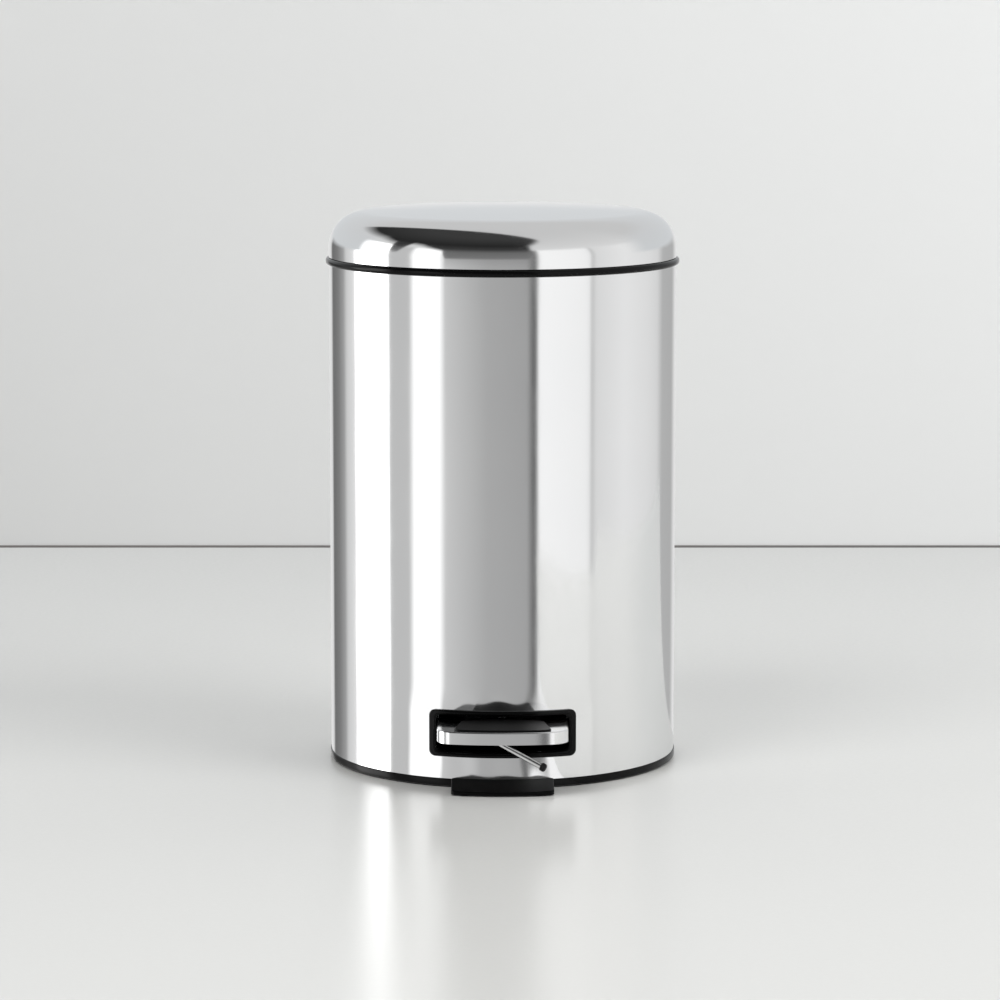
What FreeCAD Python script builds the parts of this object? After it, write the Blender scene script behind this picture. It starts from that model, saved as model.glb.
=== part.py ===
import FreeCAD, Part
import math
import os
import re
import Sketcher
from FreeCAD import Placement, Rotation, Vector

# A round step-on waste bin: a steel body and domed lid, a plastic base, rim ring and pedal frame, a
# pedal lever on an axle, a lift rod at the back and an inner bucket with a bail.
# +Z is up, the pedal points along -Y, and the origin is on the floor at the body's axis. Millimetres.

doc = FreeCAD.newDocument("pedal_trash_can")
sheet = doc.addObject("Spreadsheet::Sheet", "Sizes")

# Driving dimensions: name, value, meaning.
SIZES = [
    ("total_height", 400, "floor to the top of the lid"),
    ("body_radius", 125, "outside of the steel body"),
    ("skin", 0.6, "steel sheet of the body and lid"),
    ("foot_gap", 0.8, "floor to the plastic base, held up by its pads"),
    ("base_top", 6.3, "top of the base's outer band"),
    ("base_wall", 7, "width of the base's band"),
    ("spigot_wall", 2, "plastic collar that plugs into the steel body"),
    ("base_spigot", 10, "height of the base's collar"),
    ("rim_spigot", 9.5, "depth of the rim ring's collar"),
    ("rim_height", 5.1, "bead between the body and the lid"),
    ("rim_lip", 3.2, "inward ledge of the rim ring"),
    ("lid_gap", 0.4, "bead to the lid's edge when shut"),
    ("lid_height", 35, "lid's edge to the top of its dome"),
    ("lid_corner", 26, "round of the lid's shoulder"),
    ("lid_crown", 2.5, "rise of the lid's top"),
    ("lid_travel", 80, "opening angle of the lid, degrees"),
    ("hinge_behind", 7.5, "hinge pin behind the body's surface"),
    ("hinge_above", 2.5, "hinge pin above the body's top edge"),
    ("hinge_pin_radius", 2, "hinge pin"),
    ("crank_reach", 16.5, "lift rod to hinge pin, along Y"),
    ("crank_play", 1.2, "slot clearance on each side of the rod's hook"),
    ("rod_radius", 2, "lift rod wire"),
    ("rod_bend", 5, "bend at each end of the lift rod"),
    ("floor_height", 58, "underside of the steel floor above the lever"),
    ("floor_sheet", 1, "steel floor"),
    ("floor_flange", 9, "turned-down edge of the steel floor"),
    ("axle_back", 50, "pedal axle in front of the body's axis"),
    ("axle_height", 38, "pedal axle above the floor"),
    ("axle_radius", 3, "pedal axle"),
    ("bracket_width", 54, "axle bracket, outside"),
    ("bracket_sheet", 2, "steel of the brackets"),
    ("lever_width", 16, "lever channel, outside"),
    ("lever_sheet", 1.5, "steel of the lever channel"),
    ("lever_depth", 18, "depth of the lever channel at the axle"),
    ("lever_tail", 5.2, "half depth of the lever channel at the rod"),
    ("pedal_top", 49.2, "top of the steel pedal tray"),
    ("pedal_reach", 46, "pedal in front of the body"),
    ("pedal_nose", 91, "width of the pedal at its front"),
    ("pedal_root", 91, "width of the pedal at the body"),
    ("pedal_lip", 8.8, "turned-down edge of the pedal"),
    ("pedal_sheet", 0.9, "steel of the pedal tray"),
    ("pad_thick", 1.4, "rubber tread on the pedal"),
    ("frame_width", 103.4, "pedal frame, outside"),
    ("frame_low", 22.1, "bottom of the pedal frame"),
    ("frame_high", 55.3, "top of the pedal frame"),
    ("frame_bar", 3.8, "height of the frame's top and bottom bars"),
    ("frame_side", 5.4, "width of the frame's side bars"),
    ("frame_proud", 2.2, "pedal frame in front of the body"),
    ("foot_reach", 27.5, "fixed foot in front of the body"),
    ("foot_width", 72, "fixed foot"),
    ("foot_nose", 3, "top of the fixed foot at its front"),
    ("foot_root", 6.6, "top of the fixed foot at the base"),
    ("bucket_drop", 21.5, "rim of the inner bucket below the body's top"),
    ("bucket_gap", 5, "bucket's side to the lift rod"),
    ("bucket_draft", 12, "bucket's radius lost from top to bottom"),
    ("bucket_wall", 1.8, "plastic of the bucket"),
    ("bail_drop", 12, "bail below the bucket's rim"),
    ("bail_radius", 1.75, "bail wire"),
    ("cover_width", 60, "hinge cover"),
    ("cover_depth", 18, "hinge cover behind the body"),
    ("cover_drop", 53.5, "bottom of the hinge cover below the body's top"),
    ("cover_wall", 1.8, "plastic of the hinge cover"),
    ("running", 0.06, "play of a shaft in its hole"),
    ("moving_gap", 0.3, "gap between pieces that move apart"),
    ("rivet_radius", 2, "rivet shank"),
    ("rivet_head", 3.6, "rivet head radius"),
    ("rivet_rise", 1, "rivet head height"),
    ("rivet_turn", 6, "rivets at the back, degrees to each side"),
    ("plate_turn", 11, "hinge bracket and arm, degrees to each side"),
    ("notch_half", 8, "half width of the slots for the hinge arm"),
    ("ear_inside", 21.5, "hinge ears, middle to inner face"),
    ("ear_round", 6, "round end of the hinge ears"),
    ("arm_sheet", 3, "steel of the lid's hinge arm"),
    ("arm_inside", 3.5, "hinge arm's plates, middle to inner face"),
    ("crank_half", 5.6, "half height of the crank"),
    ("liner_band", 2, "band of the lid's liner"),
    ("liner_ledge", 6, "inward ledge of the lid's liner"),
    ("pad_seat", 1.2, "depth of a pad's seat"),
    ("strip_width", 3.6, "rubber strip under the base"),
    ("foot_pad", 5, "radius of the pads under the foot"),
    ("pedal_inside", 33, "pedal tray's back edge inside the body"),
    ("pedal_corner", 10, "round front corners of the pedal"),
    ("tread_nose", 69, "width of the tread at its front"),
    ("stop_radius", 2, "stop wire under the pedal"),
]

# Sizes that follow from the driving ones.
FOLLOWS = {
    "wall_in": "body_radius - skin",
    "lid_edge": "total_height - lid_height",
    "rim_top": "lid_edge - lid_gap",
    "body_top": "rim_top - rim_height",
    "lid_radius": "body_radius + 0.2",
    "hinge_y": "body_radius + hinge_behind",
    "hinge_z": "body_top + hinge_above",
    "rod_y": "hinge_y - crank_reach",
    "half_turn": "lid_travel / 2",
    "rod_travel": "2 * crank_reach * tan(half_turn)",
    "hook_z": "hinge_z - rod_travel / 2",
    "rod_foot_z": "axle_height - rod_travel / 2",
    "pedal_front": "body_radius + pedal_reach",
    "pedal_back": "body_radius - pedal_inside",
    "foot_front": "body_radius + foot_reach",
    "bucket_top": "body_top - bucket_drop",
    "bucket_radius": "rod_y - rod_radius - bucket_gap",
    "bucket_base": "bucket_radius - bucket_draft",
    "cover_low": "body_top - cover_drop",
    "floor_top": "floor_height + floor_sheet",
    "tray_under": "pedal_top - pedal_sheet",
    "bail_z": "bucket_top - bail_drop",
    "bail_path": "bucket_radius + 4.4",
    "bail_front": "bail_path + 3",
    "open_half": "frame_width / 2 - frame_side",
    "open_low": "frame_low + frame_bar",
    "open_high": "frame_high - frame_bar",
    "base_out": "body_radius + 0.6",
    "strip_out": "base_out - 1.8",
    "lid_in": "lid_radius - skin",
    "shoulder_in": "lid_radius - lid_corner",
    "shoulder_top": "total_height - lid_crown",
    "crown_radius": "(shoulder_in^2 + lid_crown^2) / (2 * lid_crown)",
    "crank_tip": "crank_reach / cos(half_turn) + rod_radius + 2.4",
    "cover_high": "body_top - 0.5",
    "plate_out": "body_radius + 1.5",
    "tab_out": "lid_in - 0.4",
    "tab_in": "tab_out - 1.6",
}

for row, (alias, number, meaning) in enumerate(SIZES, start=1):
    sheet.set(f"A{row}", meaning)
    sheet.set(f"B{row}", str(number))
    sheet.setAlias(f"B{row}", alias)
doc.recompute()

CELLS = re.compile(r"\b(" + "|".join(alias for alias, _, _ in SIZES) + r")\b")


def rule(text):
    """Write a rule out in terms of the sheet's cells."""
    text = str(text)
    for name in reversed(FOLLOWS):
        text = re.sub(rf"\b{name}\b", f"({FOLLOWS[name]})", text)
    return CELLS.sub(r"Sizes.\1", text)


def value(text):
    """The number that a rule gives now."""
    result = sheet.evalExpression(rule(text))
    return float(getattr(result, "Value", result))


def bind(thing, **properties):
    """Tie properties of an object to rules; Base_x stands for Base.x."""
    for name, text in properties.items():
        thing.setExpression(name.replace("_", "."), rule(text))


# Bodies, sketches and features.

def new_body(label):
    body = doc.addObject("PartDesign::Body", label)
    body.Label = label
    return body


def sketch_on(body, role, offset="0"):
    """A sketch on one of the body's own origin planes, moved along the plane's normal."""
    sketch = body.newObject("Sketcher::SketchObject", body.Label + "_sketch")
    base = next(f for f in body.Origin.OriginFeatures if f.Role == role)
    sketch.AttachmentSupport = [(base, "")]
    sketch.MapMode = "FlatFace"
    bind(sketch, AttachmentOffset_Base_z=offset)
    return sketch


def pin_down(sketch, geometry, position, across, up):
    """Place a point of the sketch by two rules."""
    for kind, text in (("DistanceX", across), ("DistanceY", up)):
        number = sketch.addConstraint(
            Sketcher.Constraint(kind, -1, 1, geometry, position, value(text)))
        sketch.setExpression(f"Constraints[{number}]", rule(text))


def outline(sketch, corners):
    """A closed outline. A corner is (across, up), or (across, up, radius) where an arc leaves it.
    A positive radius turns the arc left, and a negative one turns it right."""
    points = [Vector(value(corner[0]), value(corner[1]), 0) for corner in corners]
    sides = []
    for corner, start, end in zip(corners, points, points[1:] + points[:1]):
        if len(corner) == 2:
            sides.append((sketch.addGeometry(Part.LineSegment(start, end)), 1, 2))
            continue
        radius = value(corner[2])
        chord = end - start
        left = Vector(-chord.y, chord.x, 0).normalize()
        drop = math.sqrt(radius ** 2 - (chord.Length / 2) ** 2)
        centre = (start + end) / 2 + left * math.copysign(drop, radius)
        first, last = (start, end) if radius > 0 else (end, start)
        angles = [math.atan2(p.y - centre.y, p.x - centre.x) for p in (first, last)]
        circle = Part.Circle(centre, Vector(0, 0, 1), abs(radius))
        arc = sketch.addGeometry(Part.ArcOfCircle(circle, angles[0], angles[1]))
        sides.append((arc, 1, 2) if radius > 0 else (arc, 2, 1))
    for (side, _, end), (after, start, _) in zip(sides, sides[1:] + sides[:1]):
        sketch.addConstraint(Sketcher.Constraint("Coincident", side, end, after, start))
    for (side, start, _), corner in zip(sides, corners):
        pin_down(sketch, side, start, corner[0], corner[1])
        if len(corner) == 3:
            number = sketch.addConstraint(
                Sketcher.Constraint("Radius", side, abs(value(corner[2]))))
            text = corner[2] if value(corner[2]) > 0 else f"-({corner[2]})"
            sketch.setExpression(f"Constraints[{number}]", rule(text))


def rectangle(sketch, left, low, right, high):
    outline(sketch, [(left, low), (right, low), (right, high), (left, high)])


def circle(sketch, across, up, radius):
    ring = sketch.addGeometry(
        Part.Circle(Vector(value(across), value(up), 0), Vector(0, 0, 1), value(radius)))
    pin_down(sketch, ring, 3, across, up)
    number = sketch.addConstraint(Sketcher.Constraint("Radius", ring, value(radius)))
    sketch.setExpression(f"Constraints[{number}]", rule(radius))


def feature(kind, body, sketch):
    made = body.newObject("PartDesign::" + kind, body.Label + "_" + kind.lower())
    made.Profile = sketch
    return made


def pad(body, sketch, length, middle=False, back=False):
    made = feature("Pad", body, sketch)
    bind(made, Length=length)
    made.Midplane = middle
    made.Reversed = back
    return made


def pocket(body, sketch, length, middle=False, back=False):
    """A cut that has to take something away."""
    doc.recompute()
    before = body.Shape.Volume
    made = feature("Pocket", body, sketch)
    bind(made, Length=length)
    made.Midplane = middle
    made.Reversed = back
    doc.recompute()
    if body.Shape.Volume > before - 1e-3:
        raise RuntimeError(f"{body.Label}: a pocket cuts nothing")
    return made


def revolve(body, sketch, angle="360"):
    """Turn a sketch about its vertical axis; part of a turn lies evenly on both sides of it."""
    made = feature("Revolution", body, sketch)
    made.ReferenceAxis = (sketch, ["V_Axis"])
    made.Midplane = angle != "360"
    bind(made, Angle=angle)
    return made


def fillet(body, radius, chosen):
    """Round the edges of the body that the test chooses."""
    doc.recompute()
    base = body.Tip
    names = [f"Edge{i}" for i, edge in enumerate(base.Shape.Edges, 1) if chosen(edge)]
    if not names:
        raise RuntimeError(f"{body.Label}: no edge to round")
    made = body.newObject("PartDesign::Fillet", body.Label + "_fillet")
    made.Base = (base, names)
    bind(made, Radius=radius)
    doc.recompute()
    return made


def upright(edge):
    """A straight edge along Z."""
    return edge.Curve.TypeId == "Part::GeomLine" and abs(edge.tangentAt(edge.FirstParameter).z) > 0.99


def route(points, bends):
    """Straight runs joined by tangent arcs, as edges. bends holds a radius for each inner point."""
    edges = []
    here = points[0]
    for before, corner, after, bend in zip(points, points[1:], points[2:], bends):
        inward = (before - corner).normalize()
        outward = (after - corner).normalize()
        half = inward.getAngle(outward) / 2
        first, last = (corner + way * (bend / math.tan(half)) for way in (inward, outward))
        middle = (inward + outward).normalize()
        bulge = corner + middle * (bend / math.sin(half) - bend)
        if (first - here).Length > 1e-6:
            edges.append(Part.LineSegment(here, first))
        edges.append(Part.Arc(first, bulge, last))
        here = last
    if (points[-1] - here).Length > 1e-6:
        edges.append(Part.LineSegment(here, points[-1]))
    return edges


def wire_body(label, role, offset, path, centre, radius):
    """A round wire that starts along X and stays on one plane. path holds (across, up, bend)."""
    body = new_body(label)
    spine = sketch_on(body, role, offset)
    points = [Vector(value(across), value(up), 0) for across, up, _ in path]
    for edge in route(points, [value(bend) for _, _, bend in path[1:-1]]):
        spine.addGeometry(edge)
    section = sketch_on(body, "YZ_Plane", path[0][0])
    circle(section, centre[0], centre[1], radius)
    pipe = feature("AdditivePipe", body, section)
    pipe.Spine = spine
    return body


def group(label, shapes):
    """Like pieces that share one node, as separate solids."""
    made = doc.addObject("Part::Feature", label)
    made.Label = label
    made.Shape = Part.makeCompound(shapes)
    made.Placement = Placement()
    return made


def rivet(foot, direction, grip, flush=False):
    """A rivet from the underside of its first head: a shank through the grip, then a second head
    unless it is flush there."""
    shank, head, rise = value("rivet_radius"), value("rivet_head"), value("rivet_rise")
    flat = head - 0.7 * rise
    corners = [(0, -rise), (flat, -rise), (head, -0.3 * rise), (head, 0), (shank, 0), (shank, grip)]
    if not flush:
        corners += [(head, grip), (head, grip + 0.3 * rise), (flat, grip + rise), (0, grip + rise)]
    else:
        corners += [(0, grip)]
    profile = Part.makePolygon([Vector(r, 0, up) for r, up in corners + corners[:1]])
    solid = Part.Face(profile).revolve(Vector(), Vector(0, 0, 1), 360)
    solid.Placement = Placement(foot, Rotation(Vector(0, 0, 1), direction))
    return solid


def spoke(degrees):
    """The level direction at an angle from the back of the bin."""
    turn = math.radians(90 + degrees)
    return Vector(math.cos(turn), math.sin(turn), 0)


def back_rivets(label, heights, inside, outside):
    """Rivets square to the back wall, at both sides of the middle. The flat inner head rests on the
    hollow side of the wall by its rim."""
    shapes = []
    inside = f"sqrt(({inside})^2 - rivet_head^2)"
    for height in heights:
        for side in (-1, 1):
            out = spoke(side * value("rivet_turn"))
            foot = out * value(inside) + Vector(0, 0, value(height))
            shapes.append(rivet(foot, out, value(f"{outside} - ({inside})")))
    group(label, shapes)


def back_holes(body, heights):
    """The holes for those rivets."""
    for height in heights:
        for side in ("-", ""):
            sketch = sketch_on(body, "XZ_Plane")
            sketch.AttachmentOffset = Placement(Vector(), Rotation(Vector(0, 1, 0), 1))
            sketch.setExpression("AttachmentOffset.Rotation.Angle", rule(f"{side}rivet_turn"))
            circle(sketch, "0", height, "rivet_radius")
            pocket(body, sketch, "body_radius + 20")


# The steel body.

PLATE_RIVETS = ("cover_low + 12", "cover_low + 31")
TAB_RIVETS = ("lid_edge + 5.4",)


def back_notch(body, low, high, half="notch_half"):
    """A slot through the back wall for the lid's hinge arm."""
    sketch = sketch_on(body, "XZ_Plane")
    rectangle(sketch, f"-({half})", low, half, high)
    pocket(body, sketch, "body_radius + 20")


def body_shell():
    body = new_body("body_shell")
    wall = sketch_on(body, "XZ_Plane")
    rectangle(wall, "wall_in", "base_top", "body_radius", "body_top")
    revolve(body, wall)
    opening = sketch_on(body, "XZ_Plane")
    rectangle(opening, "-(open_half + 1.7)", "open_low - 1.6", "open_half + 1.7", "open_high + 1.6")
    pocket(body, opening, "body_radius + 20", back=True)
    back_notch(body, "hook_z - 3", "body_top + 1")
    back_holes(body, PLATE_RIVETS)


# The plastic base, its fixed foot and their pads.

def foot_pads():
    """Places of the pads under the fixed foot, as rules."""
    return [(f"{side} * (foot_width / 2 - 10)", "-(foot_front - 9)") for side in (-1, 1)]


def pad_seat(body, circles):
    """A seat in the underside for rubber, from circles given as (across, back, radius)."""
    sketch = sketch_on(body, "XY_Plane", "foot_gap + pad_seat")
    for across, back, radius in circles:
        circle(sketch, across, back, radius)
    pocket(body, sketch, "pad_seat + 1")


def base_ring():
    body = new_body("base_ring")
    band = sketch_on(body, "XZ_Plane")
    outline(band, [
        ("base_out - base_wall", "foot_gap"), ("base_out - 1", "foot_gap"),
        ("base_out", "foot_gap + 1"), ("base_out", "base_top - 0.6"),
        ("body_radius", "base_top"), ("wall_in", "base_top"),
        ("wall_in", "base_top + base_spigot"), ("wall_in - spigot_wall", "base_top + base_spigot"),
        ("wall_in - spigot_wall", "base_top"), ("base_out - base_wall", "base_top")])
    revolve(body, band)
    pad_seat(body, [("0", "0", "strip_out"), ("0", "0", "strip_out - strip_width")])


def front_foot():
    body = new_body("front_foot")
    plan = sketch_on(body, "XY_Plane", "foot_gap")
    root = "sqrt(base_out^2 - (foot_width / 2)^2)"
    nose = "sqrt(foot_front^2 - (foot_width / 2)^2)"
    outline(plan, [
        ("-foot_width / 2", f"-{root}", "base_out"), ("foot_width / 2", f"-{root}"),
        ("foot_width / 2", f"-{nose}", "-foot_front"), ("-foot_width / 2", f"-{nose}")])
    pad(body, plan, "foot_root - foot_gap")
    fillet(body, "3", lambda edge: upright(edge) and edge.CenterOfMass.y < -value("body_radius + 9"))
    slope = sketch_on(body, "YZ_Plane")
    outline(slope, [
        ("-base_out", "foot_root"), ("-(foot_front + 1)", "foot_nose"),
        ("-(foot_front + 1)", "foot_root + 1"), ("-base_out", "foot_root + 1")])
    pocket(body, slope, "foot_width + 2", middle=True)
    pad_seat(body, [(across, back, "foot_pad") for across, back in foot_pads()])


def floor_rubbers():
    """The rubber strip round the base and the two pads under the foot, all resting on the floor."""
    depth = value("foot_gap + pad_seat")
    strip = Part.makeCylinder(value("strip_out"), depth)
    group("antislip_strip", [strip.cut(Part.makeCylinder(value("strip_out - strip_width"), depth))])
    group("foot_pads", [Part.makeCylinder(value("foot_pad"), depth, Vector(value(across), value(back), 0))
                        for across, back in foot_pads()])


# The steel floor above the lever, and the axle under it.

def bracket_rivet_places():
    return [(f"{x} * bracket_width / 3", f"-(axle_back + {y} * 8)") for x in (-1, 1) for y in (-1, 1)]


def rivet_holes(body, places, top, depth):
    sketch = sketch_on(body, "XY_Plane", top)
    for across, back in places:
        circle(sketch, across, back, "rivet_radius")
    pocket(body, sketch, depth)


def inner_floor():
    body = new_body("inner_floor")
    disc = sketch_on(body, "XZ_Plane")
    outline(disc, [
        ("0", "floor_height"), ("wall_in", "floor_height"), ("wall_in", "floor_height + floor_flange"),
        ("wall_in - floor_sheet", "floor_height + floor_flange"), ("wall_in - floor_sheet", "floor_top"),
        ("0", "floor_top")])
    revolve(body, disc)
    rivet_holes(body, bracket_rivet_places(), "floor_top", "floor_sheet * 2")
    passage = sketch_on(body, "XY_Plane", "floor_top")
    circle(passage, "0", "rod_y", "rod_radius + 1.5")
    pocket(body, passage, "floor_sheet * 2")


def axle_bracket():
    body = new_body("axle_bracket")
    front = sketch_on(body, "XZ_Plane", "axle_back")
    side, inside = "bracket_width / 2", "bracket_width / 2 - bracket_sheet"
    low = "axle_height - 9"
    outline(front, [
        (f"-({side})", low), (f"-({inside})", low), (f"-({inside})", "floor_height - bracket_sheet"),
        (inside, "floor_height - bracket_sheet"), (inside, low), (side, low),
        (side, "floor_height"), (f"-({side})", "floor_height")])
    pad(body, front, "24", middle=True)
    bore = sketch_on(body, "YZ_Plane")
    circle(bore, "-axle_back", "axle_height", "axle_radius")
    pocket(body, bore, "bracket_width + 2", middle=True)
    rivet_holes(body, bracket_rivet_places(), "floor_height", "bracket_sheet * 2")


def bracket_rivets():
    shapes = []
    for across, back in bracket_rivet_places():
        foot = Vector(value(across), value(back), value("floor_height - bracket_sheet"))
        shapes.append(rivet(foot, Vector(0, 0, 1), value("bracket_sheet + floor_sheet"), flush=True))
    group("bracket_rivets", shapes)


def cross_pin(label, across, up, radius, face, tail):
    """A pin along X with a head on one face and a tail past the other."""
    body = new_body(label)
    shank = sketch_on(body, "YZ_Plane", face)
    circle(shank, across, up, radius)
    pad(body, shank, f"2 * ({face}) + {tail}", back=True)
    head = sketch_on(body, "YZ_Plane", face)
    circle(head, across, up, f"{radius} + 1.6")
    pad(body, head, "1.5")


def pin_clip(label, across, up, radius, face):
    """A spring clip on a pin's tail, open towards the floor."""
    body = new_body(label)
    ring = sketch_on(body, "YZ_Plane", f"-({face})")
    circle(ring, across, up, f"{radius} + 2.2")
    circle(ring, across, up, radius)
    pad(body, ring, "1", back=True)
    mouth = sketch_on(body, "YZ_Plane", f"-({face} - 1)")
    rectangle(mouth, f"{across} - {radius} / 2", f"{up} - {radius} - 4", f"{across} + {radius} / 2", up)
    pocket(body, mouth, "4")


def axle_spacers():
    """Two tubes that keep the lever in the middle of the axle."""
    shapes = []
    start = value("lever_width / 2 + moving_gap")
    length = value("bracket_width / 2 - bracket_sheet") - start
    for side in (-1, 1):
        foot = Vector(side * start, -value("axle_back"), value("axle_height"))
        way = Vector(side, 0, 0)
        tube = Part.makeCylinder(value("axle_radius + 2"), length, foot, way)
        shapes.append(tube.cut(Part.makeCylinder(value("axle_radius"), length, foot, way)))
    group("axle_spacers", shapes)


# The pedal: lever channel, steel tray, tread and stop wire.

LEVER_FRONT = "(body_radius - 7)"
LEVER_BEND = "(axle_back + 12)"


def pedal_lever():
    body = new_body("pedal_lever")
    side = sketch_on(body, "YZ_Plane")
    outline(side, [
        (f"-{LEVER_FRONT}", "tray_under - lever_depth + 5"),
        (f"-{LEVER_FRONT} + 8", "tray_under - lever_depth"),
        (f"-{LEVER_BEND}", "tray_under - lever_depth"), ("rod_y + 2", "rod_foot_z - lever_tail"),
        ("rod_y + 5", "rod_foot_z - lever_tail / 2"), ("rod_y + 5", "rod_foot_z + lever_tail / 2"),
        ("rod_y + 2", "rod_foot_z + lever_tail"), (f"-{LEVER_BEND}", "tray_under"),
        (f"-{LEVER_FRONT}", "tray_under")])
    pad(body, side, "lever_width", middle=True)
    hollow = sketch_on(body, "YZ_Plane")
    outline(hollow, [
        (f"-{LEVER_FRONT} - 1", "0"), ("rod_y + 9", "0"),
        ("rod_y + 9", "rod_foot_z + lever_tail - lever_sheet"),
        ("rod_y + 2", "rod_foot_z + lever_tail - lever_sheet"), (f"-{LEVER_BEND}", "tray_under - lever_sheet"),
        (f"-{LEVER_FRONT} - 1", "tray_under - lever_sheet")])
    inside = "lever_width - 2 * lever_sheet"
    pocket(body, hollow, inside, middle=True)
    fork = sketch_on(body, "YZ_Plane")
    rectangle(fork, "rod_y - 8", "rod_foot_z - 12", "rod_y + 9", "rod_foot_z + 12")
    pocket(body, fork, inside, middle=True)
    slot = sketch_on(body, "YZ_Plane")
    rectangle(slot, "rod_y - rod_radius - 1", "rod_foot_z - rod_radius - 0.5",
              "rod_y + rod_radius + 1", "rod_foot_z + rod_radius + 0.5")
    pocket(body, slot, "lever_width + 2", middle=True)
    bore = sketch_on(body, "YZ_Plane")
    circle(bore, "-axle_back", "axle_height", "axle_radius + running")
    pocket(body, bore, "lever_width + 2", middle=True)
    rivet_holes(body, pedal_rivet_places(), "tray_under + 1", "lever_sheet + 2")


def pedal_rivet_places():
    return [("0", f"-({LEVER_FRONT} - {step})") for step in (6, 20)]


def pedal_plan(sketch, inset, back):
    """The pedal seen from above, smaller by the inset except at its back."""
    nose, root = f"pedal_nose / 2 - {inset}", f"pedal_root / 2 - {inset}"
    front = f"sqrt((pedal_front - {inset})^2 - ({nose})^2)"
    flare = "body_radius - 8"
    outline(sketch, [
        (f"-({nose})", f"-{front}", f"pedal_front - {inset}"), (nose, f"-{front}"),
        (root, f"-({flare})"), (root, f"-({back})"),
        (f"-({root})", f"-({back})"), (f"-({root})", f"-({flare})")])


def pedal_plate():
    body = new_body("pedal_plate")
    top = sketch_on(body, "XY_Plane", "pedal_top - pedal_lip")
    pedal_plan(top, "0", "pedal_back")
    pad(body, top, "pedal_lip")
    under = sketch_on(body, "XY_Plane", "tray_under")
    pedal_plan(under, "pedal_sheet", "pedal_back - 1")
    pocket(body, under, "pedal_lip")
    for inset in ("pedal_sheet", "0"):
        across = value(f"pedal_nose / 2 - {inset}")
        fillet(body, f"pedal_corner - {inset}", lambda edge: upright(edge)
               and edge.CenterOfMass.y < -value("body_radius + 15")
               and abs(abs(edge.CenterOfMass.x) - across) < 0.01)
    fillet(body, "pedal_sheet * 0.8", lambda edge: level(edge, "pedal_top")
           and edge.CenterOfMass.y < -value("pedal_back + 2"))
    rivet_holes(body, pedal_rivet_places(), "pedal_top", "pedal_sheet + 1")


def level(edge, height):
    """An edge that lies at one height."""
    box = edge.BoundBox
    return abs(box.ZMin - value(height)) < 1e-4 and box.ZLength < 1e-4


def pedal_pad():
    body = new_body("pedal_pad")
    plan = sketch_on(body, "XY_Plane", "pedal_top")
    nose, root = "tread_nose / 2", "tread_nose / 2 - 5.5"
    front = f"sqrt((pedal_front - 0.8)^2 - ({nose})^2)"
    outline(plan, [
        (f"-({nose})", f"-{front}", "pedal_front - 0.8"), (nose, f"-{front}"),
        (root, "-(body_radius + 9)", "tread_nose * 1.25"), (f"-({root})", "-(body_radius + 9)")])
    pad(body, plan, "pad_thick")
    fillet(body, "6",
           lambda edge: upright(edge) and edge.CenterOfMass.y < -value("pedal_front - 20"))
    fillet(body, "pad_thick / 2", lambda edge: level(edge, "pedal_top + pad_thick"))


def pedal_rivets():
    shapes = []
    for across, back in pedal_rivet_places():
        foot = Vector(value(across), value(back), value("tray_under - lever_sheet"))
        shapes.append(rivet(foot, Vector(0, 0, 1), value("lever_sheet + pedal_sheet")))
    group("pedal_rivets", shapes)


def stop_wire():
    """A bent wire under the tray. Its sloping end stops just above the floor at full travel."""
    radius = value("stop_radius")
    under = value("tray_under") - radius
    front = -value("pedal_front")
    start = Vector(-32, front + 41, under)
    bend = Vector(-22, front + 31.5, under)
    tip = Vector(28, front + 11, value("pedal_top - pedal_lip") - 17.6)
    edges = route([start, bend, tip], [8])
    path = Part.Wire([edge.toShape() for edge in edges])
    section = Part.Wire(Part.Circle(start, bend - start, radius).toShape())
    made = doc.addObject("Part::Feature", "stop_wire")
    made.Label = "stop_wire"
    made.Shape = path.makePipeShell([section], True, False)
    made.Placement = Placement()
    cap = doc.addObject("Part::Feature", "stop_wire_cap")
    cap.Label = "stop_wire_cap"
    way = (tip - bend).normalize()
    sleeve = Part.makeCylinder(radius + 0.9, 3.6, tip - way * 1.6, way)
    cap.Shape = sleeve.cut(Part.makeCylinder(radius, 1.6, tip - way * 1.6, way))
    cap.Placement = Placement()


# The plastic frame round the pedal opening.

def trim(body, inside, outside):
    """Cut away everything between two radii, all round."""
    doc.recompute()
    before = body.Shape.Volume
    sketch = sketch_on(body, "XZ_Plane")
    rectangle(sketch, inside, "0", outside, "total_height")
    made = feature("Groove", body, sketch)
    made.ReferenceAxis = (sketch, ["V_Axis"])
    bind(made, Angle="360")
    doc.recompute()
    if body.Shape.Volume > before - 1e-3:
        raise RuntimeError(f"{body.Label}: a groove cuts nothing")


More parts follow.
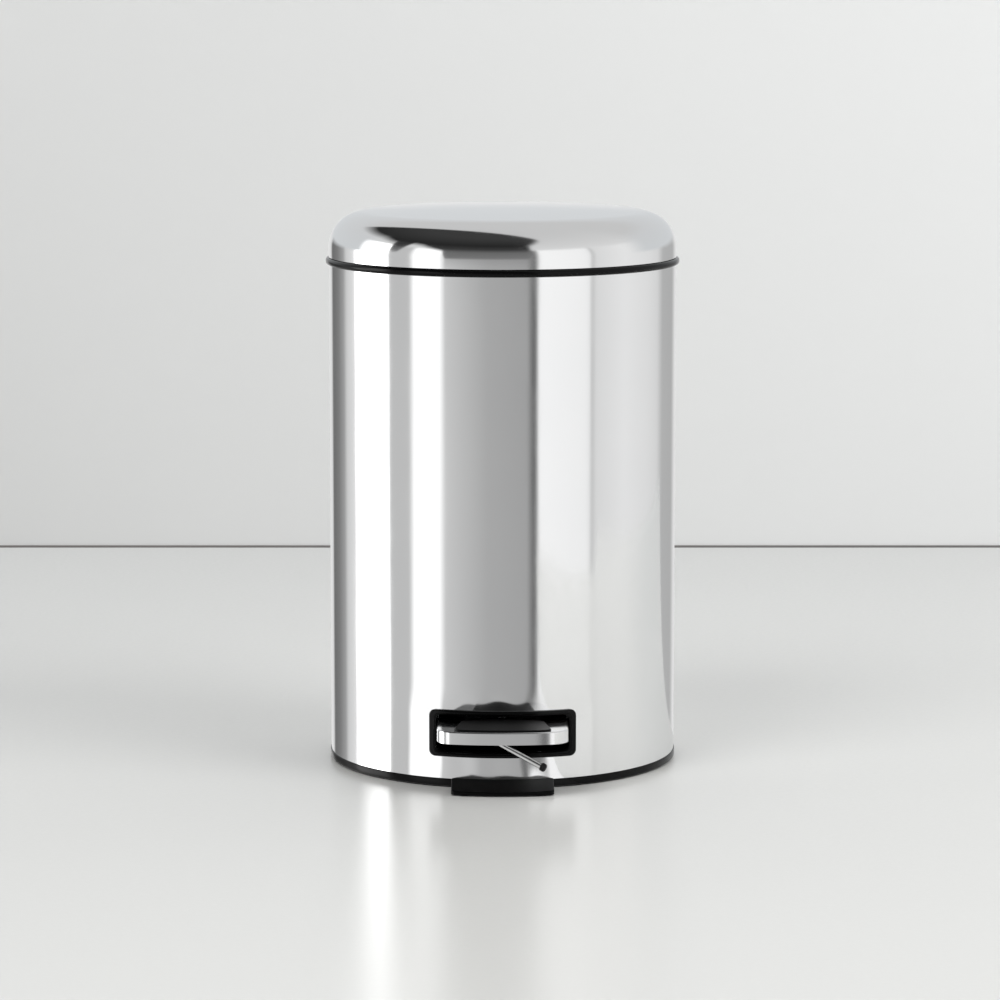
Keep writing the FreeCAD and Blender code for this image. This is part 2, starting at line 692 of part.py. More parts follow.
def pedal_frame():
    body = new_body("pedal_frame")
    collar = sketch_on(body, "XZ_Plane", "body_radius - 16")
    rectangle(collar, "-(open_half + 1.5)", "open_low - 1.4", "open_half + 1.5", "open_high + 1.4")
    rectangle(collar, "-open_half", "open_low", "open_half", "open_high")
    pad(body, collar, "24")
    trim(body, "body_radius", "body_radius * 2")
    trim(body, "0.01", "wall_in - 3")
    band = sketch_on(body, "YZ_Plane")
    rectangle(band, "-(body_radius + frame_proud)", "frame_low", "-body_radius", "frame_high")
    revolve(body, band, "2.2 * asin(frame_width / 2 / body_radius)")
    front = sketch_on(body, "XZ_Plane", "0")
    rectangle(front, "-frame_width", "frame_low - 5", "frame_width", "frame_high + 5")
    rectangle(front, "-frame_width / 2", "frame_low", "frame_width / 2", "frame_high")
    rectangle(front, "-open_half", "open_low", "open_half", "open_high")
    pocket(body, front, "body_radius + 20", back=True)
    fillet(body, "4.5", lambda edge: abs(abs(edge.CenterOfMass.x) - value("frame_width / 2")) < 0.01
           and edge.BoundBox.YLength > 1 and edge.BoundBox.ZLength < 1e-4)


# The lift rod and its guides.

def lift_rod():
    reach = "-(lever_width / 2 + 3)"
    wire_body("lift_rod", "XZ_Plane", "-(rod_y)", [
        (reach, "rod_foot_z", "0"), ("0", "rod_foot_z", "rod_bend"), ("0", "hook_z", "rod_bend"),
        ("-(arm_inside + arm_sheet + 2.5)", "hook_z", "0")], ("rod_y", "rod_foot_z"), "rod_radius")


def rod_guides():
    shapes = []
    thick = 8
    for height in (value("floor_top") + 50, value("bucket_top") - 40):
        depth = value("rod_radius") + 3
        block = Part.makeBox(12, 30, thick, Vector(-6, value("rod_y") - depth, height))
        block = block.common(Part.makeCylinder(value("wall_in"), thick, Vector(0, 0, height)))
        hole = Part.makeCylinder(value("rod_radius + running"), thick, Vector(0, value("rod_y"), height))
        shapes.append(block.cut(hole))
    group("rod_guides", shapes)


# The hinge.

def hinge_bracket():
    body = new_body("hinge_bracket")
    plate = sketch_on(body, "YZ_Plane")
    rectangle(plate, "body_radius", "cover_low + 6", "plate_out", "cover_low + 37")
    revolve(body, plate, "2 * plate_turn")
    for side, back in (("", False), ("-", True)):
        ear = sketch_on(body, "YZ_Plane", f"{side}ear_inside")
        outline(ear, [
            ("body_radius - 1.7", "cover_low + 6"), ("body_radius + 5", "cover_low + 6"),
            ("hinge_y + ear_round", "hinge_z - 12"), ("hinge_y + ear_round", "hinge_z", "ear_round + 0.05"),
            ("hinge_y - ear_round", "hinge_z"), ("hinge_y - ear_round", "hinge_z - 7"),
            ("body_radius - 1.7", "cover_low + 37")])
        pad(body, ear, "bracket_sheet", back=back)
    bore = sketch_on(body, "YZ_Plane")
    circle(bore, "hinge_y", "hinge_z", "hinge_pin_radius")
    pocket(body, bore, "2 * (ear_inside + bracket_sheet) + 2", middle=True)
    back_holes(body, PLATE_RIVETS)


def hinge_cover():
    body = new_body("hinge_cover")
    plan = sketch_on(body, "XY_Plane", "cover_low")
    root = "sqrt(body_radius^2 - (cover_width / 2)^2)"
    outline(plan, [
        ("-cover_width / 2", root, "-body_radius"), ("cover_width / 2", root),
        ("cover_width / 2", "body_radius + cover_depth"), ("-cover_width / 2", "body_radius + cover_depth")])
    pad(body, plan, "cover_high - cover_low")
    fillet(body, "8", lambda edge: upright(edge) and edge.CenterOfMass.y > value("body_radius + 9"))
    fillet(body, "1.2", lambda edge: level(edge, "cover_low") and edge.CenterOfMass.y > value("body_radius + 1"))
    inside = sketch_on(body, "XY_Plane", "cover_high")
    half = "cover_width / 2 - cover_wall"
    near = f"sqrt(body_radius^2 - ({half})^2)"
    far = "body_radius + cover_depth - cover_wall"
    outline(inside, [(f"-({half})", near, "-body_radius"), (half, near), (half, far), (f"-({half})", far)])
    pocket(body, inside, "cover_high - cover_low - cover_wall")


# The lid.

def lid_shell():
    body = new_body("lid_shell")
    dome = sketch_on(body, "XZ_Plane")
    outline(dome, [
        ("lid_in", "lid_edge"), ("lid_radius", "lid_edge"),
        ("lid_radius", "shoulder_top - lid_corner", "lid_corner"),
        ("shoulder_in", "shoulder_top", "crown_radius"), ("0", "total_height"),
        ("0", "total_height - skin", "-(crown_radius)"),
        ("shoulder_in", "shoulder_top - skin", "-(lid_corner - skin)"),
        ("lid_in", "shoulder_top - lid_corner")])
    revolve(body, dome)
    back_notch(body, "lid_edge - 1", "lid_edge + 13.5")
    back_holes(body, TAB_RIVETS)


def lid_liner():
    body = new_body("lid_liner")
    band = sketch_on(body, "XZ_Plane")
    outline(band, [
        ("lid_in - liner_band", "lid_edge + 0.6"), ("lid_in", "lid_edge + 0.6"), ("lid_in", "lid_edge + 5"),
        ("lid_in - liner_ledge", "lid_edge + 5"), ("lid_in - liner_ledge", "lid_edge + 3.5"),
        ("lid_in - liner_band", "lid_edge + 3.5")])
    revolve(body, band)
    back_notch(body, "lid_edge - 1", "lid_edge + 10", "body_radius * sin(plate_turn - 1) + 0.5")


def lid_bumpers():
    """Three rubber studs under the liner's ledge."""
    shapes = []
    low = value("rim_top + moving_gap")
    for degrees in (100, 180, 260):
        foot = spoke(degrees) * value("lid_in - liner_band - 2") + Vector(0, 0, low)
        shapes.append(Part.makeCylinder(1.6, value("lid_edge + 3.5") - low, foot))
    group("lid_bumpers", shapes)


def along(reach, half):
    """A point of the crank as rules: so far from the hinge pin, and so far above its middle line."""
    return (f"hinge_y - ({reach}) * cos(half_turn) - ({half}) * sin(half_turn)",
            f"hinge_z - ({reach}) * sin(half_turn) + ({half}) * cos(half_turn)")


def lid_hinge_arm():
    body = new_body("lid_hinge_arm")
    tab = sketch_on(body, "YZ_Plane")
    rectangle(tab, "tab_in", "lid_edge + 1.5", "tab_out", "lid_edge + 9.5")
    revolve(body, tab, "2 * (plate_turn - 2)")
    for side, back in (("", False), ("-", True)):
        plate = sketch_on(body, "YZ_Plane", f"{side}arm_inside")
        outline(plate, [
            ("tab_in + 0.6", "lid_edge + 2"), ("hinge_y - 3.5", "hinge_z - 4"), ("hinge_y + 3.5", "hinge_z - 4"),
            ("hinge_y + 5", "hinge_z + 1"), ("hinge_y - 1", "lid_edge + 7"), ("tab_in + 0.6", "lid_edge + 9.2")])
        pad(body, plate, "arm_sheet", back=back)
    barrel = sketch_on(body, "YZ_Plane")
    circle(barrel, "hinge_y", "hinge_z", "hinge_pin_radius + 3.4")
    pad(body, barrel, "2 * (arm_inside + arm_sheet)", middle=True)
    crank = sketch_on(body, "YZ_Plane", "-arm_inside")
    outline(crank, [
        along("0", "-crank_half"), along("0", "crank_half"), along("crank_tip - 2", "crank_half"),
        along("crank_tip", "crank_half - 2"), along("crank_tip", "-(crank_half - 2)"),
        along("crank_tip - 2", "-crank_half")])
    pad(body, crank, "arm_sheet", back=True)
    bore = sketch_on(body, "YZ_Plane")
    circle(bore, "hinge_y", "hinge_z", "hinge_pin_radius + running")
    pocket(body, bore, "4 * (arm_inside + arm_sheet)", middle=True)
    slot = sketch_on(body, "YZ_Plane")
    near, far = "crank_reach - rod_radius - 0.5", "crank_tip - 1.9"
    half = "rod_radius + crank_play"
    outline(slot, [along(near, f"-({half})"), along(near, half), along(far, half), along(far, f"-({half})")])
    pocket(body, slot, "4 * (arm_inside + arm_sheet)", middle=True)
    back_holes(body, TAB_RIVETS)


# The rim ring between the body and the lid.

def rim_ring():
    body = new_body("rim_ring")
    bead = sketch_on(body, "XZ_Plane")
    ledge = "wall_in - spigot_wall - rim_lip"
    outline(bead, [
        ("wall_in - spigot_wall", "body_top - rim_spigot"), ("wall_in", "body_top - rim_spigot"),
        ("wall_in", "body_top"), ("body_radius + 0.2", "body_top", "rim_height / 2 + 0.05"),
        ("body_radius + 0.2", "rim_top"), (ledge, "rim_top"), (ledge, "rim_top - 2"),
        ("wall_in - spigot_wall", "rim_top - 2")])
    revolve(body, bead)
    back_notch(body, "body_top - rim_spigot - 1", "rim_top + 1")


# The bucket and its bail.

def inner_bucket():
    body = new_body("inner_bucket")
    wall = sketch_on(body, "XZ_Plane")
    outline(wall, [
        ("0", "floor_top"), ("bucket_base - 4", "floor_top"), ("bucket_base", "floor_top + 4"),
        ("bucket_radius", "bucket_top - 4"), ("bucket_radius + 2", "bucket_top - 4"),
        ("bucket_radius + 2", "bucket_top"), ("bucket_radius - bucket_wall", "bucket_top"),
        ("bucket_base - bucket_wall", "floor_top + 5"), ("bucket_base - bucket_wall - 3", "floor_top + bucket_wall"),
        ("0", "floor_top + bucket_wall")])
    revolve(body, wall)
    holes = sketch_on(body, "YZ_Plane")
    circle(holes, "0", "bail_z", "bail_radius + moving_gap")
    pocket(body, holes, "2 * bucket_radius + 10", middle=True)


def bail_handle():
    inner = "bucket_radius - 5"
    wire_body("bail_handle", "XY_Plane", "bail_z", [
        (f"-({inner})", "0", "0"), ("-(bail_path)", "0", "3"),
        ("-(bail_path)", "-(bail_front)", "bail_path"), ("bail_path", "-(bail_front)", "bail_path"),
        ("bail_path", "0", "3"), (inner, "0", "0")], ("0", "bail_z"), "bail_radius")


def bail_grip():
    body = new_body("bail_grip")
    section = sketch_on(body, "YZ_Plane")
    circle(section, "-(bail_front)", "bail_z", "bail_radius + 2.6")
    circle(section, "-(bail_front)", "bail_z", "bail_radius + moving_gap")
    revolve(body, section, "30")


body_shell()
base_ring()
front_foot()
floor_rubbers()
inner_floor()
axle_bracket()
bracket_rivets()
cross_pin("lever_axle", "-axle_back", "axle_height", "axle_radius", "bracket_width / 2", "4")
pin_clip("axle_clip", "-axle_back", "axle_height", "axle_radius", "bracket_width / 2")
axle_spacers()
pedal_lever()
pedal_plate()
pedal_pad()
pedal_rivets()
stop_wire()
pedal_frame()
lift_rod()
rod_guides()
hinge_bracket()
back_rivets("hinge_rivets", PLATE_RIVETS, "wall_in", "plate_out")
cross_pin("hinge_pin", "hinge_y", "hinge_z", "hinge_pin_radius", "ear_inside + bracket_sheet", "3")
pin_clip("hinge_clip", "hinge_y", "hinge_z", "hinge_pin_radius", "ear_inside + bracket_sheet")
hinge_cover()
rim_ring()
lid_shell()
lid_liner()
lid_bumpers()
lid_hinge_arm()
back_rivets("lid_rivets", TAB_RIVETS, "tab_in", "lid_radius")
inner_bucket()
bail_handle()
bail_grip()

doc.recompute()

nodes = [thing for thing in doc.Objects if thing.TypeId in ("PartDesign::Body", "Part::Feature")]
for thing in doc.Objects:
    if "Invalid" in thing.State or "Error" in thing.State:
        raise RuntimeError(f"{thing.Label} did not build: {thing.State}")
for node in nodes:
    if node.Shape.isNull() or not node.Shape.isValid() or not node.Shape.Solids:
        raise RuntimeError(f"{node.Label} has no sound shape")

os.makedirs("parts", exist_ok=True)
for node in nodes:
    node.Shape.exportStep(f"parts/{node.Label}.step")
    box = node.Shape.optimalBoundingBox()
    print(f"{node.Label:16s} solids {len(node.Shape.Solids)}  volume {node.Shape.Volume / 1000:8.2f} cm3  "
          f"x {box.XMin:7.1f} {box.XMax:7.1f}  y {box.YMin:7.1f} {box.YMax:7.1f}  "
          f"z {box.ZMin:6.1f} {box.ZMax:6.1f}")

turn = math.degrees(2 * math.atan(value("rod_travel") / 2 / value("rod_y + axle_back")))
print(f"rod travel {value('rod_travel'):.3f} mm, pedal turn {turn:.3f} degrees")
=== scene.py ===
# %% [markdown]
# # A steel pedal bin
#
# The bin is a polished steel cylinder on a black plastic base. A pedal at the front works a rod
# at the back, and the rod lifts the lid. The moving parts, their places and their joints come
# from the CAD model, which is loaded as a fixed frame. This lesson makes the surfaces that are
# seen, gives each of them a finish, and sets up the studio round the bin.

# %% Load the frame
import bmesh
import bpy
import math
from mathutils import Matrix, Vector


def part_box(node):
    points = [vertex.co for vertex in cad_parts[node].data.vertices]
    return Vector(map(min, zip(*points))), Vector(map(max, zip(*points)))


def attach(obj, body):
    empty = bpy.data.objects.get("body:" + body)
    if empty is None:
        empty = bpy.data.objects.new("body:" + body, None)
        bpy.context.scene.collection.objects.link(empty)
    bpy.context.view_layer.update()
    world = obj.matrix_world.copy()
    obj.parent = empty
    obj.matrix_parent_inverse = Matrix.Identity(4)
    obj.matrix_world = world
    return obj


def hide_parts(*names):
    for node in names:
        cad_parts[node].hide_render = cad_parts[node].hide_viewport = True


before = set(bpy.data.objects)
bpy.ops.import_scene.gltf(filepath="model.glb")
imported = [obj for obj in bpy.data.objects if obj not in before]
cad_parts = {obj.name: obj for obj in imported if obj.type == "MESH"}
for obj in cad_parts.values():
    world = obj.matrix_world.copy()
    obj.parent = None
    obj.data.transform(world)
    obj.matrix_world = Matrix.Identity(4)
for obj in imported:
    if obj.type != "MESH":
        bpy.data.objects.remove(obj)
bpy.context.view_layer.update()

# %% [markdown]
# ## Sizes
#
# Every size is in metres and comes from the boxes of the CAD pieces, so that a surface made here
# lies exactly where the solid one is. A few details that are finer than a box can tell, such as
# the thickness of a sheet, are named once here.

# %% Read the sizes
MM = 0.001
body_low, body_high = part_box("body_shell")
lid_low, lid_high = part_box("lid_shell")
rim_low, rim_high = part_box("rim_ring")
base_low, base_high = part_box("base_ring")
plate_low, plate_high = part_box("pedal_plate")
surround_low, surround_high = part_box("pedal_frame")
foot_low, foot_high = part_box("front_foot")
cover_low, cover_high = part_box("hinge_cover")
bucket_low, bucket_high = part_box("inner_bucket")
rod_low, rod_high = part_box("lift_rod")
RADIUS = body_high.x
SKIN = 0.6 * MM
NOTCH = 8 * MM
TURN_STEPS = 224
SHARP = math.radians(32)
print("body radius", round(RADIUS, 4), "height", round(lid_high.z, 4))

# %% [markdown]
# ## Mesh helpers
#
# Most of the bin is round, so its pieces start as an outline that is spun about the upright axis.
# An outline is a few corners, and a corner with a radius is rounded by a vertex bevel before the
# spin. That keeps the numbers few and gives every edge the small round that catches the light.

# %% Draw an outline with rounded corners
def outline(corners, closed=True, plane="XZ", segments=6):
    """A wire of corners given as (across, up) or (across, up, radius)."""
    mesh = bmesh.new()
    place = (lambda a, b: (a, 0, b)) if plane == "XZ" else (lambda a, b: (a, b, 0))
    verts = [mesh.verts.new(place(corner[0], corner[1])) for corner in corners]
    pairs = zip(verts, verts[1:] + verts[:1]) if closed else zip(verts, verts[1:])
    for first, second in pairs:
        mesh.edges.new((first, second))
    for corner, vert in zip(corners, verts):
        if len(corner) > 2:
            bmesh.ops.bevel(mesh, geom=[vert], offset=corner[2], offset_type="OFFSET", segments=segments,
                            profile=0.5, affect="VERTICES", material=-1)
    return mesh


# %% Spin an outline about the upright axis
def spun(mesh, steps=TURN_STEPS):
    """Turn a wire in the XZ plane into a surface, closed where it meets the axis."""
    on_axis = [edge for edge in mesh.edges if all(abs(vert.co.x) < 1e-7 for vert in edge.verts)]
    bmesh.ops.delete(mesh, geom=on_axis, context="EDGES")
    bmesh.ops.spin(mesh, geom=list(mesh.verts) + list(mesh.edges), cent=(0, 0, 0), axis=(0, 0, 1),
                   angle=2 * math.pi, steps=steps, use_merge=True, use_duplicate=False)
    bmesh.ops.remove_doubles(mesh, verts=mesh.verts, dist=1e-6)
    bmesh.ops.dissolve_degenerate(mesh, edges=mesh.edges, dist=1e-7)
    return facing_out(mesh)


def facing_out(mesh):
    bmesh.ops.recalc_face_normals(mesh, faces=mesh.faces)
    return mesh


# %% Cut a window through part of a surface
def window(mesh, low, high, half, front, fill=False):
    """Remove a window that is 2 * half wide between two heights, at the front or the back."""
    def here(face):
        middle = face.calc_center_median()
        level = low - 1e-6 < middle.z < high + 1e-6
        return (middle.y < 0) == front and level and abs(middle.x) < half * 2.5
    for point, normal in (((0, 0, low), (0, 0, 1)), ((0, 0, high), (0, 0, 1)),
                          ((half, 0, 0), (1, 0, 0)), ((-half, 0, 0), (1, 0, 0))):
        near = [face for face in mesh.faces if (face.calc_center_median().y < 0) == front
                and abs(face.calc_center_median().x) < half * 2.5]
        if normal[0]:
            near = [face for face in near if here(face)]
        parts = near + [edge for face in near for edge in face.edges]
        parts += [vert for face in near for vert in face.verts]
        bmesh.ops.bisect_plane(mesh, geom=list(dict.fromkeys(parts)), dist=1e-6,
                               plane_co=point, plane_no=normal)
    gone = [face for face in mesh.faces if here(face) and abs(face.calc_center_median().x) < half]
    bmesh.ops.delete(mesh, geom=gone, context="FACES")
    if fill:
        rim = [edge for edge in mesh.edges if edge.is_boundary]
        bmesh.ops.holes_fill(mesh, edges=rim, sides=0)
        facing_out(mesh)
    return mesh


# %% Give a surface its thickness
def thickened(mesh, depth):
    """A wall of this depth, grown to the inside of the surface."""
    bmesh.ops.solidify(mesh, geom=list(mesh.faces), thickness=depth)
    return mesh


# %% Round the edges that turn sharply
def rounded(mesh, radius, chosen=lambda edge: True, segments=3):
    sharp = [edge for edge in mesh.edges if len(edge.link_faces) == 2
             and edge.calc_face_angle(0) > SHARP and chosen(edge)]
    bmesh.ops.bevel(mesh, geom=sharp, offset=radius, offset_type="OFFSET", segments=segments,
                    profile=0.5, affect="EDGES", clamp_overlap=True, material=-1)
    return mesh


def middle_of(edge):
    return (edge.verts[0].co + edge.verts[1].co) / 2


# %% Turn a mesh into a piece of the bin
def piece(mesh, name, finish, body, nodes, even=False):
    """Make the object, shade it, hang it on its body's empty, and hide the CAD parts it stands for."""
    for face in mesh.faces:
        face.smooth = True
    for edge in mesh.edges:
        edge.smooth = len(edge.link_faces) == 2 and edge.calc_face_angle(0) < SHARP
    data = bpy.data.meshes.new(name)
    mesh.to_mesh(data)
    triangles = sum(len(face.verts) - 2 for face in mesh.faces)
    open_edges = sum(not edge.is_manifold for edge in mesh.edges)
    mesh.free()
    made = bpy.data.objects.new(name, data)
    bpy.context.scene.collection.objects.link(made)
    data.materials.append(finish)
    if even:
        weighted = made.modifiers.new("even shading", "WEIGHTED_NORMAL")
        weighted.keep_sharp = True
    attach(made, body)
    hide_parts(*nodes)
    print(name, "triangles", triangles, "open edges", open_edges)
    return made


# %% [markdown]
# ## Finishes
#
# A finish is a node material. Its maths is written as plain expressions: a small class wraps a
# socket, and adding or multiplying two of them adds the Math node that does it. All other nodes
# come from one method. Patterns are laid out in Object coordinates, which are the bin's own
# metres, so their scale is the real one.

# %% A socket that can be calculated with
class Signal:
    """An output socket of a finish; its arithmetic adds Math nodes."""

    def __init__(self, finish, socket):
        self.finish = finish
        self.socket = socket

    def math(self, operation, first, second):
        return self.finish.node("ShaderNodeMath", {"operation": operation}, {0: first, 1: second})

    def __add__(self, other):
        return self.math("ADD", self, other)

    def __sub__(self, other):
        return self.math("SUBTRACT", self, other)

    def __rsub__(self, other):
        return self.math("SUBTRACT", other, self)

    def __mul__(self, other):
        return self.math("MULTIPLY", self, other)

    __radd__ = __add__
    __rmul__ = __mul__


# %% A finish with one method for its nodes
class Finish:
    """A material whose nodes are made by one method."""

    def __init__(self, name, **fixed):
        self.material = bpy.data.materials.new(name)
        self.material.use_nodes = True
        self.nodes = self.material.node_tree.nodes
        self.links = self.material.node_tree.links
        self.shader = self.nodes["Principled BSDF"]
        for socket, amount in fixed.items():
            self.shader.inputs[socket.replace("_", " ")].default_value = amount

    def node(self, kind, settings=None, inputs=None, output=0):
        made = self.nodes.new(kind)
        for name, setting in (settings or {}).items():
            if name == "stops":
                ramp = made.color_ramp
                while len(ramp.elements) < len(setting):
                    ramp.elements.new(0.5)
                for element, (place, color) in zip(ramp.elements, setting):
                    element.position = place
                    element.color = color
            else:
                setattr(made, name, setting)
        for name, given in (inputs or {}).items():
            if isinstance(given, Signal):
                self.links.new(given.socket, made.inputs[name])
            else:
                made.inputs[name].default_value = given
        return Signal(self, made.outputs[output])

    def give(self, socket, signal):
        self.links.new(signal.socket, self.shader.inputs[socket])

    def place(self, stretch=(1, 1, 1)):
        """The bin's own coordinates in metres, stretched by an amount along each axis."""
        coordinates = self.node("ShaderNodeTexCoord", output=3)
        return self.node("ShaderNodeMapping", {"vector_type": "POINT"},
                         {"Vector": coordinates, "Scale": stretch})

    def noise(self, scale, stretch=(1, 1, 1), detail=3.0, rough=0.5):
        return self.node("ShaderNodeTexNoise", {"noise_dimensions": "3D"},
                         {"Vector": self.place(stretch), "Scale": scale,
                          "Detail": detail, "Roughness": rough})

    def ramp(self, signal, *stops):
        grey = [(place, (level, level, level, 1)) for place, level in stops]
        return self.node("ShaderNodeValToRGB", {"stops": grey}, {"Fac": signal})

    def blend(self, amount, first, second):
        return self.node("ShaderNodeMix", {"data_type": "RGBA"}, {0: amount, 6: first, 7: second}, output=2)

    def bump(self, height, distance, strength=1.0, under=None):
        inputs = {"Height": height, "Distance": distance, "Strength": strength}
        if under is not None:
            inputs["Normal"] = under
        return self.node("ShaderNodeBump", None, inputs)


# %% [markdown]
# ### Polished steel
#
# The body, the lid and the pedal are thin rolled steel, polished to a mirror with a faint upright
# grain. Three things keep it from looking like perfect chrome: the grain, a very shallow waviness
# of the sheet, and hazy patches where it has been wiped. The sheet is a little more dented round
# the opening that was punched for the pedal, so the waviness is made stronger there.

# %% Dent the sheet above the opening
DENT_DEPTH = 0.8 * MM


def dents_above_opening(finish):
    """Three shallow hollows, deepest at the cut, as a height in metres."""
    spots = finish.place()
    across, back, up = (finish.node("ShaderNodeSeparateXYZ", None, {"Vector": spots}, output=axis)
                        for axis in range(3))
    near = finish.ramp(up, (0.052, 1.0), (0.076, 0.0))
    front = finish.ramp(back * -1.0, (0.106, 0.0), (0.117, 1.0))
    stray = finish.noise(26.0, detail=0.0)
    lobes = finish.node("ShaderNodeMath", {"operation": "SINE"}, {0: across * 225.0 + stray * 2.6 + 0.9})
    return near * near * front * (lobes * 0.34 + 0.62) * DENT_DEPTH * -1.0


# %% Make the polished steel
def polished_steel(name, grain=(1, 1, 0.02), wave=1.0, punched=False):
    finish = Finish(name, Metallic=1.0)
    haze = finish.noise(9.0, detail=4.0)
    lines = finish.noise(1500.0, grain, detail=2.0)
    wipes = finish.noise(42.0, (1, 1, 0.35), detail=5.0, rough=0.62)
    color = finish.blend(haze, (0.80, 0.805, 0.81, 1), (0.86, 0.862, 0.862, 1))
    finish.give("Base Color", color)
    wiped = finish.ramp(wipes, (0.42, 0.0), (0.75, 0.05))
    finish.give("Roughness", 0.055 + lines * 0.022 + wiped + haze * 0.02)
    shallow = finish.noise(7.0, (1, 1, 0.45), detail=1.0)
    waves = finish.bump(shallow, 0.0008 * wave, 0.35)
    if punched:
        waves = finish.bump(dents_above_opening(finish), 1.0, 1.0, waves)
    finish.give("Normal", finish.bump(lines, 0.00001, 0.25, waves))
    return finish.material


body_steel = polished_steel("steel_body_polish", punched=True)
lid_steel = polished_steel("steel_lid_polish", grain=(0.35, 0.35, 0.35), wave=0.6)
pedal_steel = polished_steel("steel_pedal_polish", grain=(0.03, 1, 1), wave=0.5)
print("polished steels made")

# %% [markdown]
# ### Plain steel
#
# The hinge and the rods are zinc-plated steel. Zinc has a soft grey sheen with a bluish cast, a
# mottled crystal pattern and small scuffs. A cell pattern gives the mottling, and a stretched
# noise gives the drawing marks. The same finish in a near-black tone is painted shade for the
# pieces under the bin's floor, so that the opening round the pedal looks dark.

# %% Make the plain steel
def plain_steel(name, tone=0.55, marks=(1, 1, 1)):
    finish = Finish(name, Metallic=1.0)
    cells = finish.node("ShaderNodeTexVoronoi", {"feature": "F1"},
                        {"Vector": finish.place(), "Scale": 260.0, "Randomness": 1.0}, output="Color")
    grey = finish.node("ShaderNodeRGBToBW", None, {"Color": cells})
    drawn = finish.noise(700.0, marks, detail=3.0)
    scuffs = finish.ramp(finish.noise(95.0, detail=6.0, rough=0.7), (0.55, 0.0), (0.72, 1.0))
    finish.give("Base Color", finish.blend(grey, (tone * 0.86, tone * 0.88, tone * 0.9, 1),
                                           (tone * 1.1, tone * 1.12, tone * 1.16, 1)))
    finish.give("Roughness", 0.24 + grey * 0.1 + drawn * 0.08 + scuffs * 0.12)
    finish.give("Normal", finish.bump(drawn, 0.00004, 0.35, finish.bump(scuffs, 0.00003, 0.3)))
    return finish.material


zinc = plain_steel("steel_zinc")
# A near-black zinc: painted shade for the pieces under the bin's floor.
zinc_as_painted_shade = plain_steel("steel_zinc_as_painted_shade", tone=0.07)
wire_steel = plain_steel("steel_wire", tone=0.66, marks=(1, 1, 0.04))
print("plain steels made")

# %% [markdown]
# ### Black plastics and rubber
#
# The rim, the base and the frame of the pedal are glossy black plastic. Moulded gloss is never
# quite flat, so it has a faint orange peel and a few dull specks of dust. The foot is duller, and
# the hidden mouldings have a satin spark-eroded grain. Rubber is greyer, with a fine tooth.

# %% Make the plastics
def moulded(name, tone, shine, peel, dust=0.25, gleam=0.25):
    finish = Finish(name, Specular_IOR_Level=gleam)
    specks = finish.ramp(finish.noise(900.0, detail=2.0), (0.66, 0.0), (0.74, 1.0))
    cloud = finish.noise(24.0, detail=3.0)
    skin = finish.noise(peel, detail=1.5)
    dusty = specks * dust
    finish.give("Base Color", finish.blend(dusty, (tone, tone, tone * 1.04, 1),
                                           (tone + 0.06, tone + 0.06, tone + 0.058, 1)))
    finish.give("Roughness", shine + cloud * 0.05 + specks * (0.3 * dust))
    finish.give("Normal", finish.bump(skin, 0.00006, 0.3))
    return finish.material


gloss_black = moulded("plastic_gloss_black", 0.0022, 0.14, 420.0, dust=0.08, gleam=0.13)
foot_black = moulded("plastic_foot_black", 0.0022, 0.42, 900.0, dust=0.12, gleam=0.08)
satin_black = moulded("plastic_satin_black", 0.008, 0.38, 2400.0, dust=0.3)
bucket_black = moulded("plastic_bucket", 0.016, 0.32, 1700.0, dust=0.3)
pad_black = moulded("rubber_tread", 0.0025, 0.30, 900.0, dust=0.15, gleam=0.12)
dull_rubber = moulded("rubber_dull", 0.012, 0.62, 1900.0, dust=0.4, gleam=0.2)
print("plastics made")

# %% [markdown]
# ## The body
#
# The body is a sheet rolled into a tube. An upright line is spun into a cylinder, the opening
# for the pedal and the slot for the lid's arm are cut out, and only then does the sheet get its
# thickness, so that the cut edges are closed. Rows of edges at the heights of the openings keep
# the cuts away from the rest of the mirror, where an extra edge would show as a line.

# %% Roll the body
SIDE_LAP, BAR_LAP, HOOK_ROOM = 3.7 * MM, 2.2 * MM, 5 * MM
opening_half = surround_high.x - SIDE_LAP
opening_low, opening_high = surround_low.z + BAR_LAP, surround_high.z - BAR_LAP
slot_low = rod_high.z - HOOK_ROOM
rows = [body_low.z, opening_low, opening_high, slot_low, body_high.z]
body = spun(outline([(RADIUS, row) for row in rows], closed=False), steps=256)
window(body, opening_low, opening_high, opening_half, front=True)
window(body, slot_low, body_high.z + MM, NOTCH, front=False)
thickened(body, SKIN)
piece(body, "body_sheet", body_steel, "root", ["body_shell"])

# %% [markdown]
# ## The lid
#
# The lid is a deep drawn cap with a wide round shoulder and a top that rises a little to its
# middle. Its outline is a corner with a large bevel. The flat line to the axis is divided and
# lifted along a parabola before the spin.

# %% Draw the lid
LID_CORNER, LID_CROWN, LID_NOTCH = 26 * MM, 2.5 * MM, 13.5 * MM
lid_radius = lid_high.x
flat_top = lid_high.z - LID_CROWN
lid = outline([(lid_radius, lid_low.z), (lid_radius, flat_top, LID_CORNER), (0, flat_top)],
              closed=False, segments=18)
longest = max(lid.edges, key=lambda edge: edge.calc_length())
bmesh.ops.subdivide_edges(lid, edges=[longest], cuts=22)
shoulder = lid_radius - LID_CORNER
for vert in lid.verts:
    if vert.co.x < shoulder:
        vert.co.z += LID_CROWN * (1 - (vert.co.x / shoulder) ** 2)
spun(lid, steps=256)
window(lid, lid_low.z - MM, lid_low.z + LID_NOTCH, NOTCH, front=False)
thickened(lid, SKIN)
piece(lid, "lid_cap", lid_steel, "lid", ["lid_shell"])

# %% [markdown]
# ## Rim and base
#
# Between the body and the lid sits a black bead with a bulging outside, which plugs into the
# tube. The base is a band round the bottom with a collar inside. Both are closed outlines spun
# into rings. The bead has a gap at the back where the lid's arm passes.

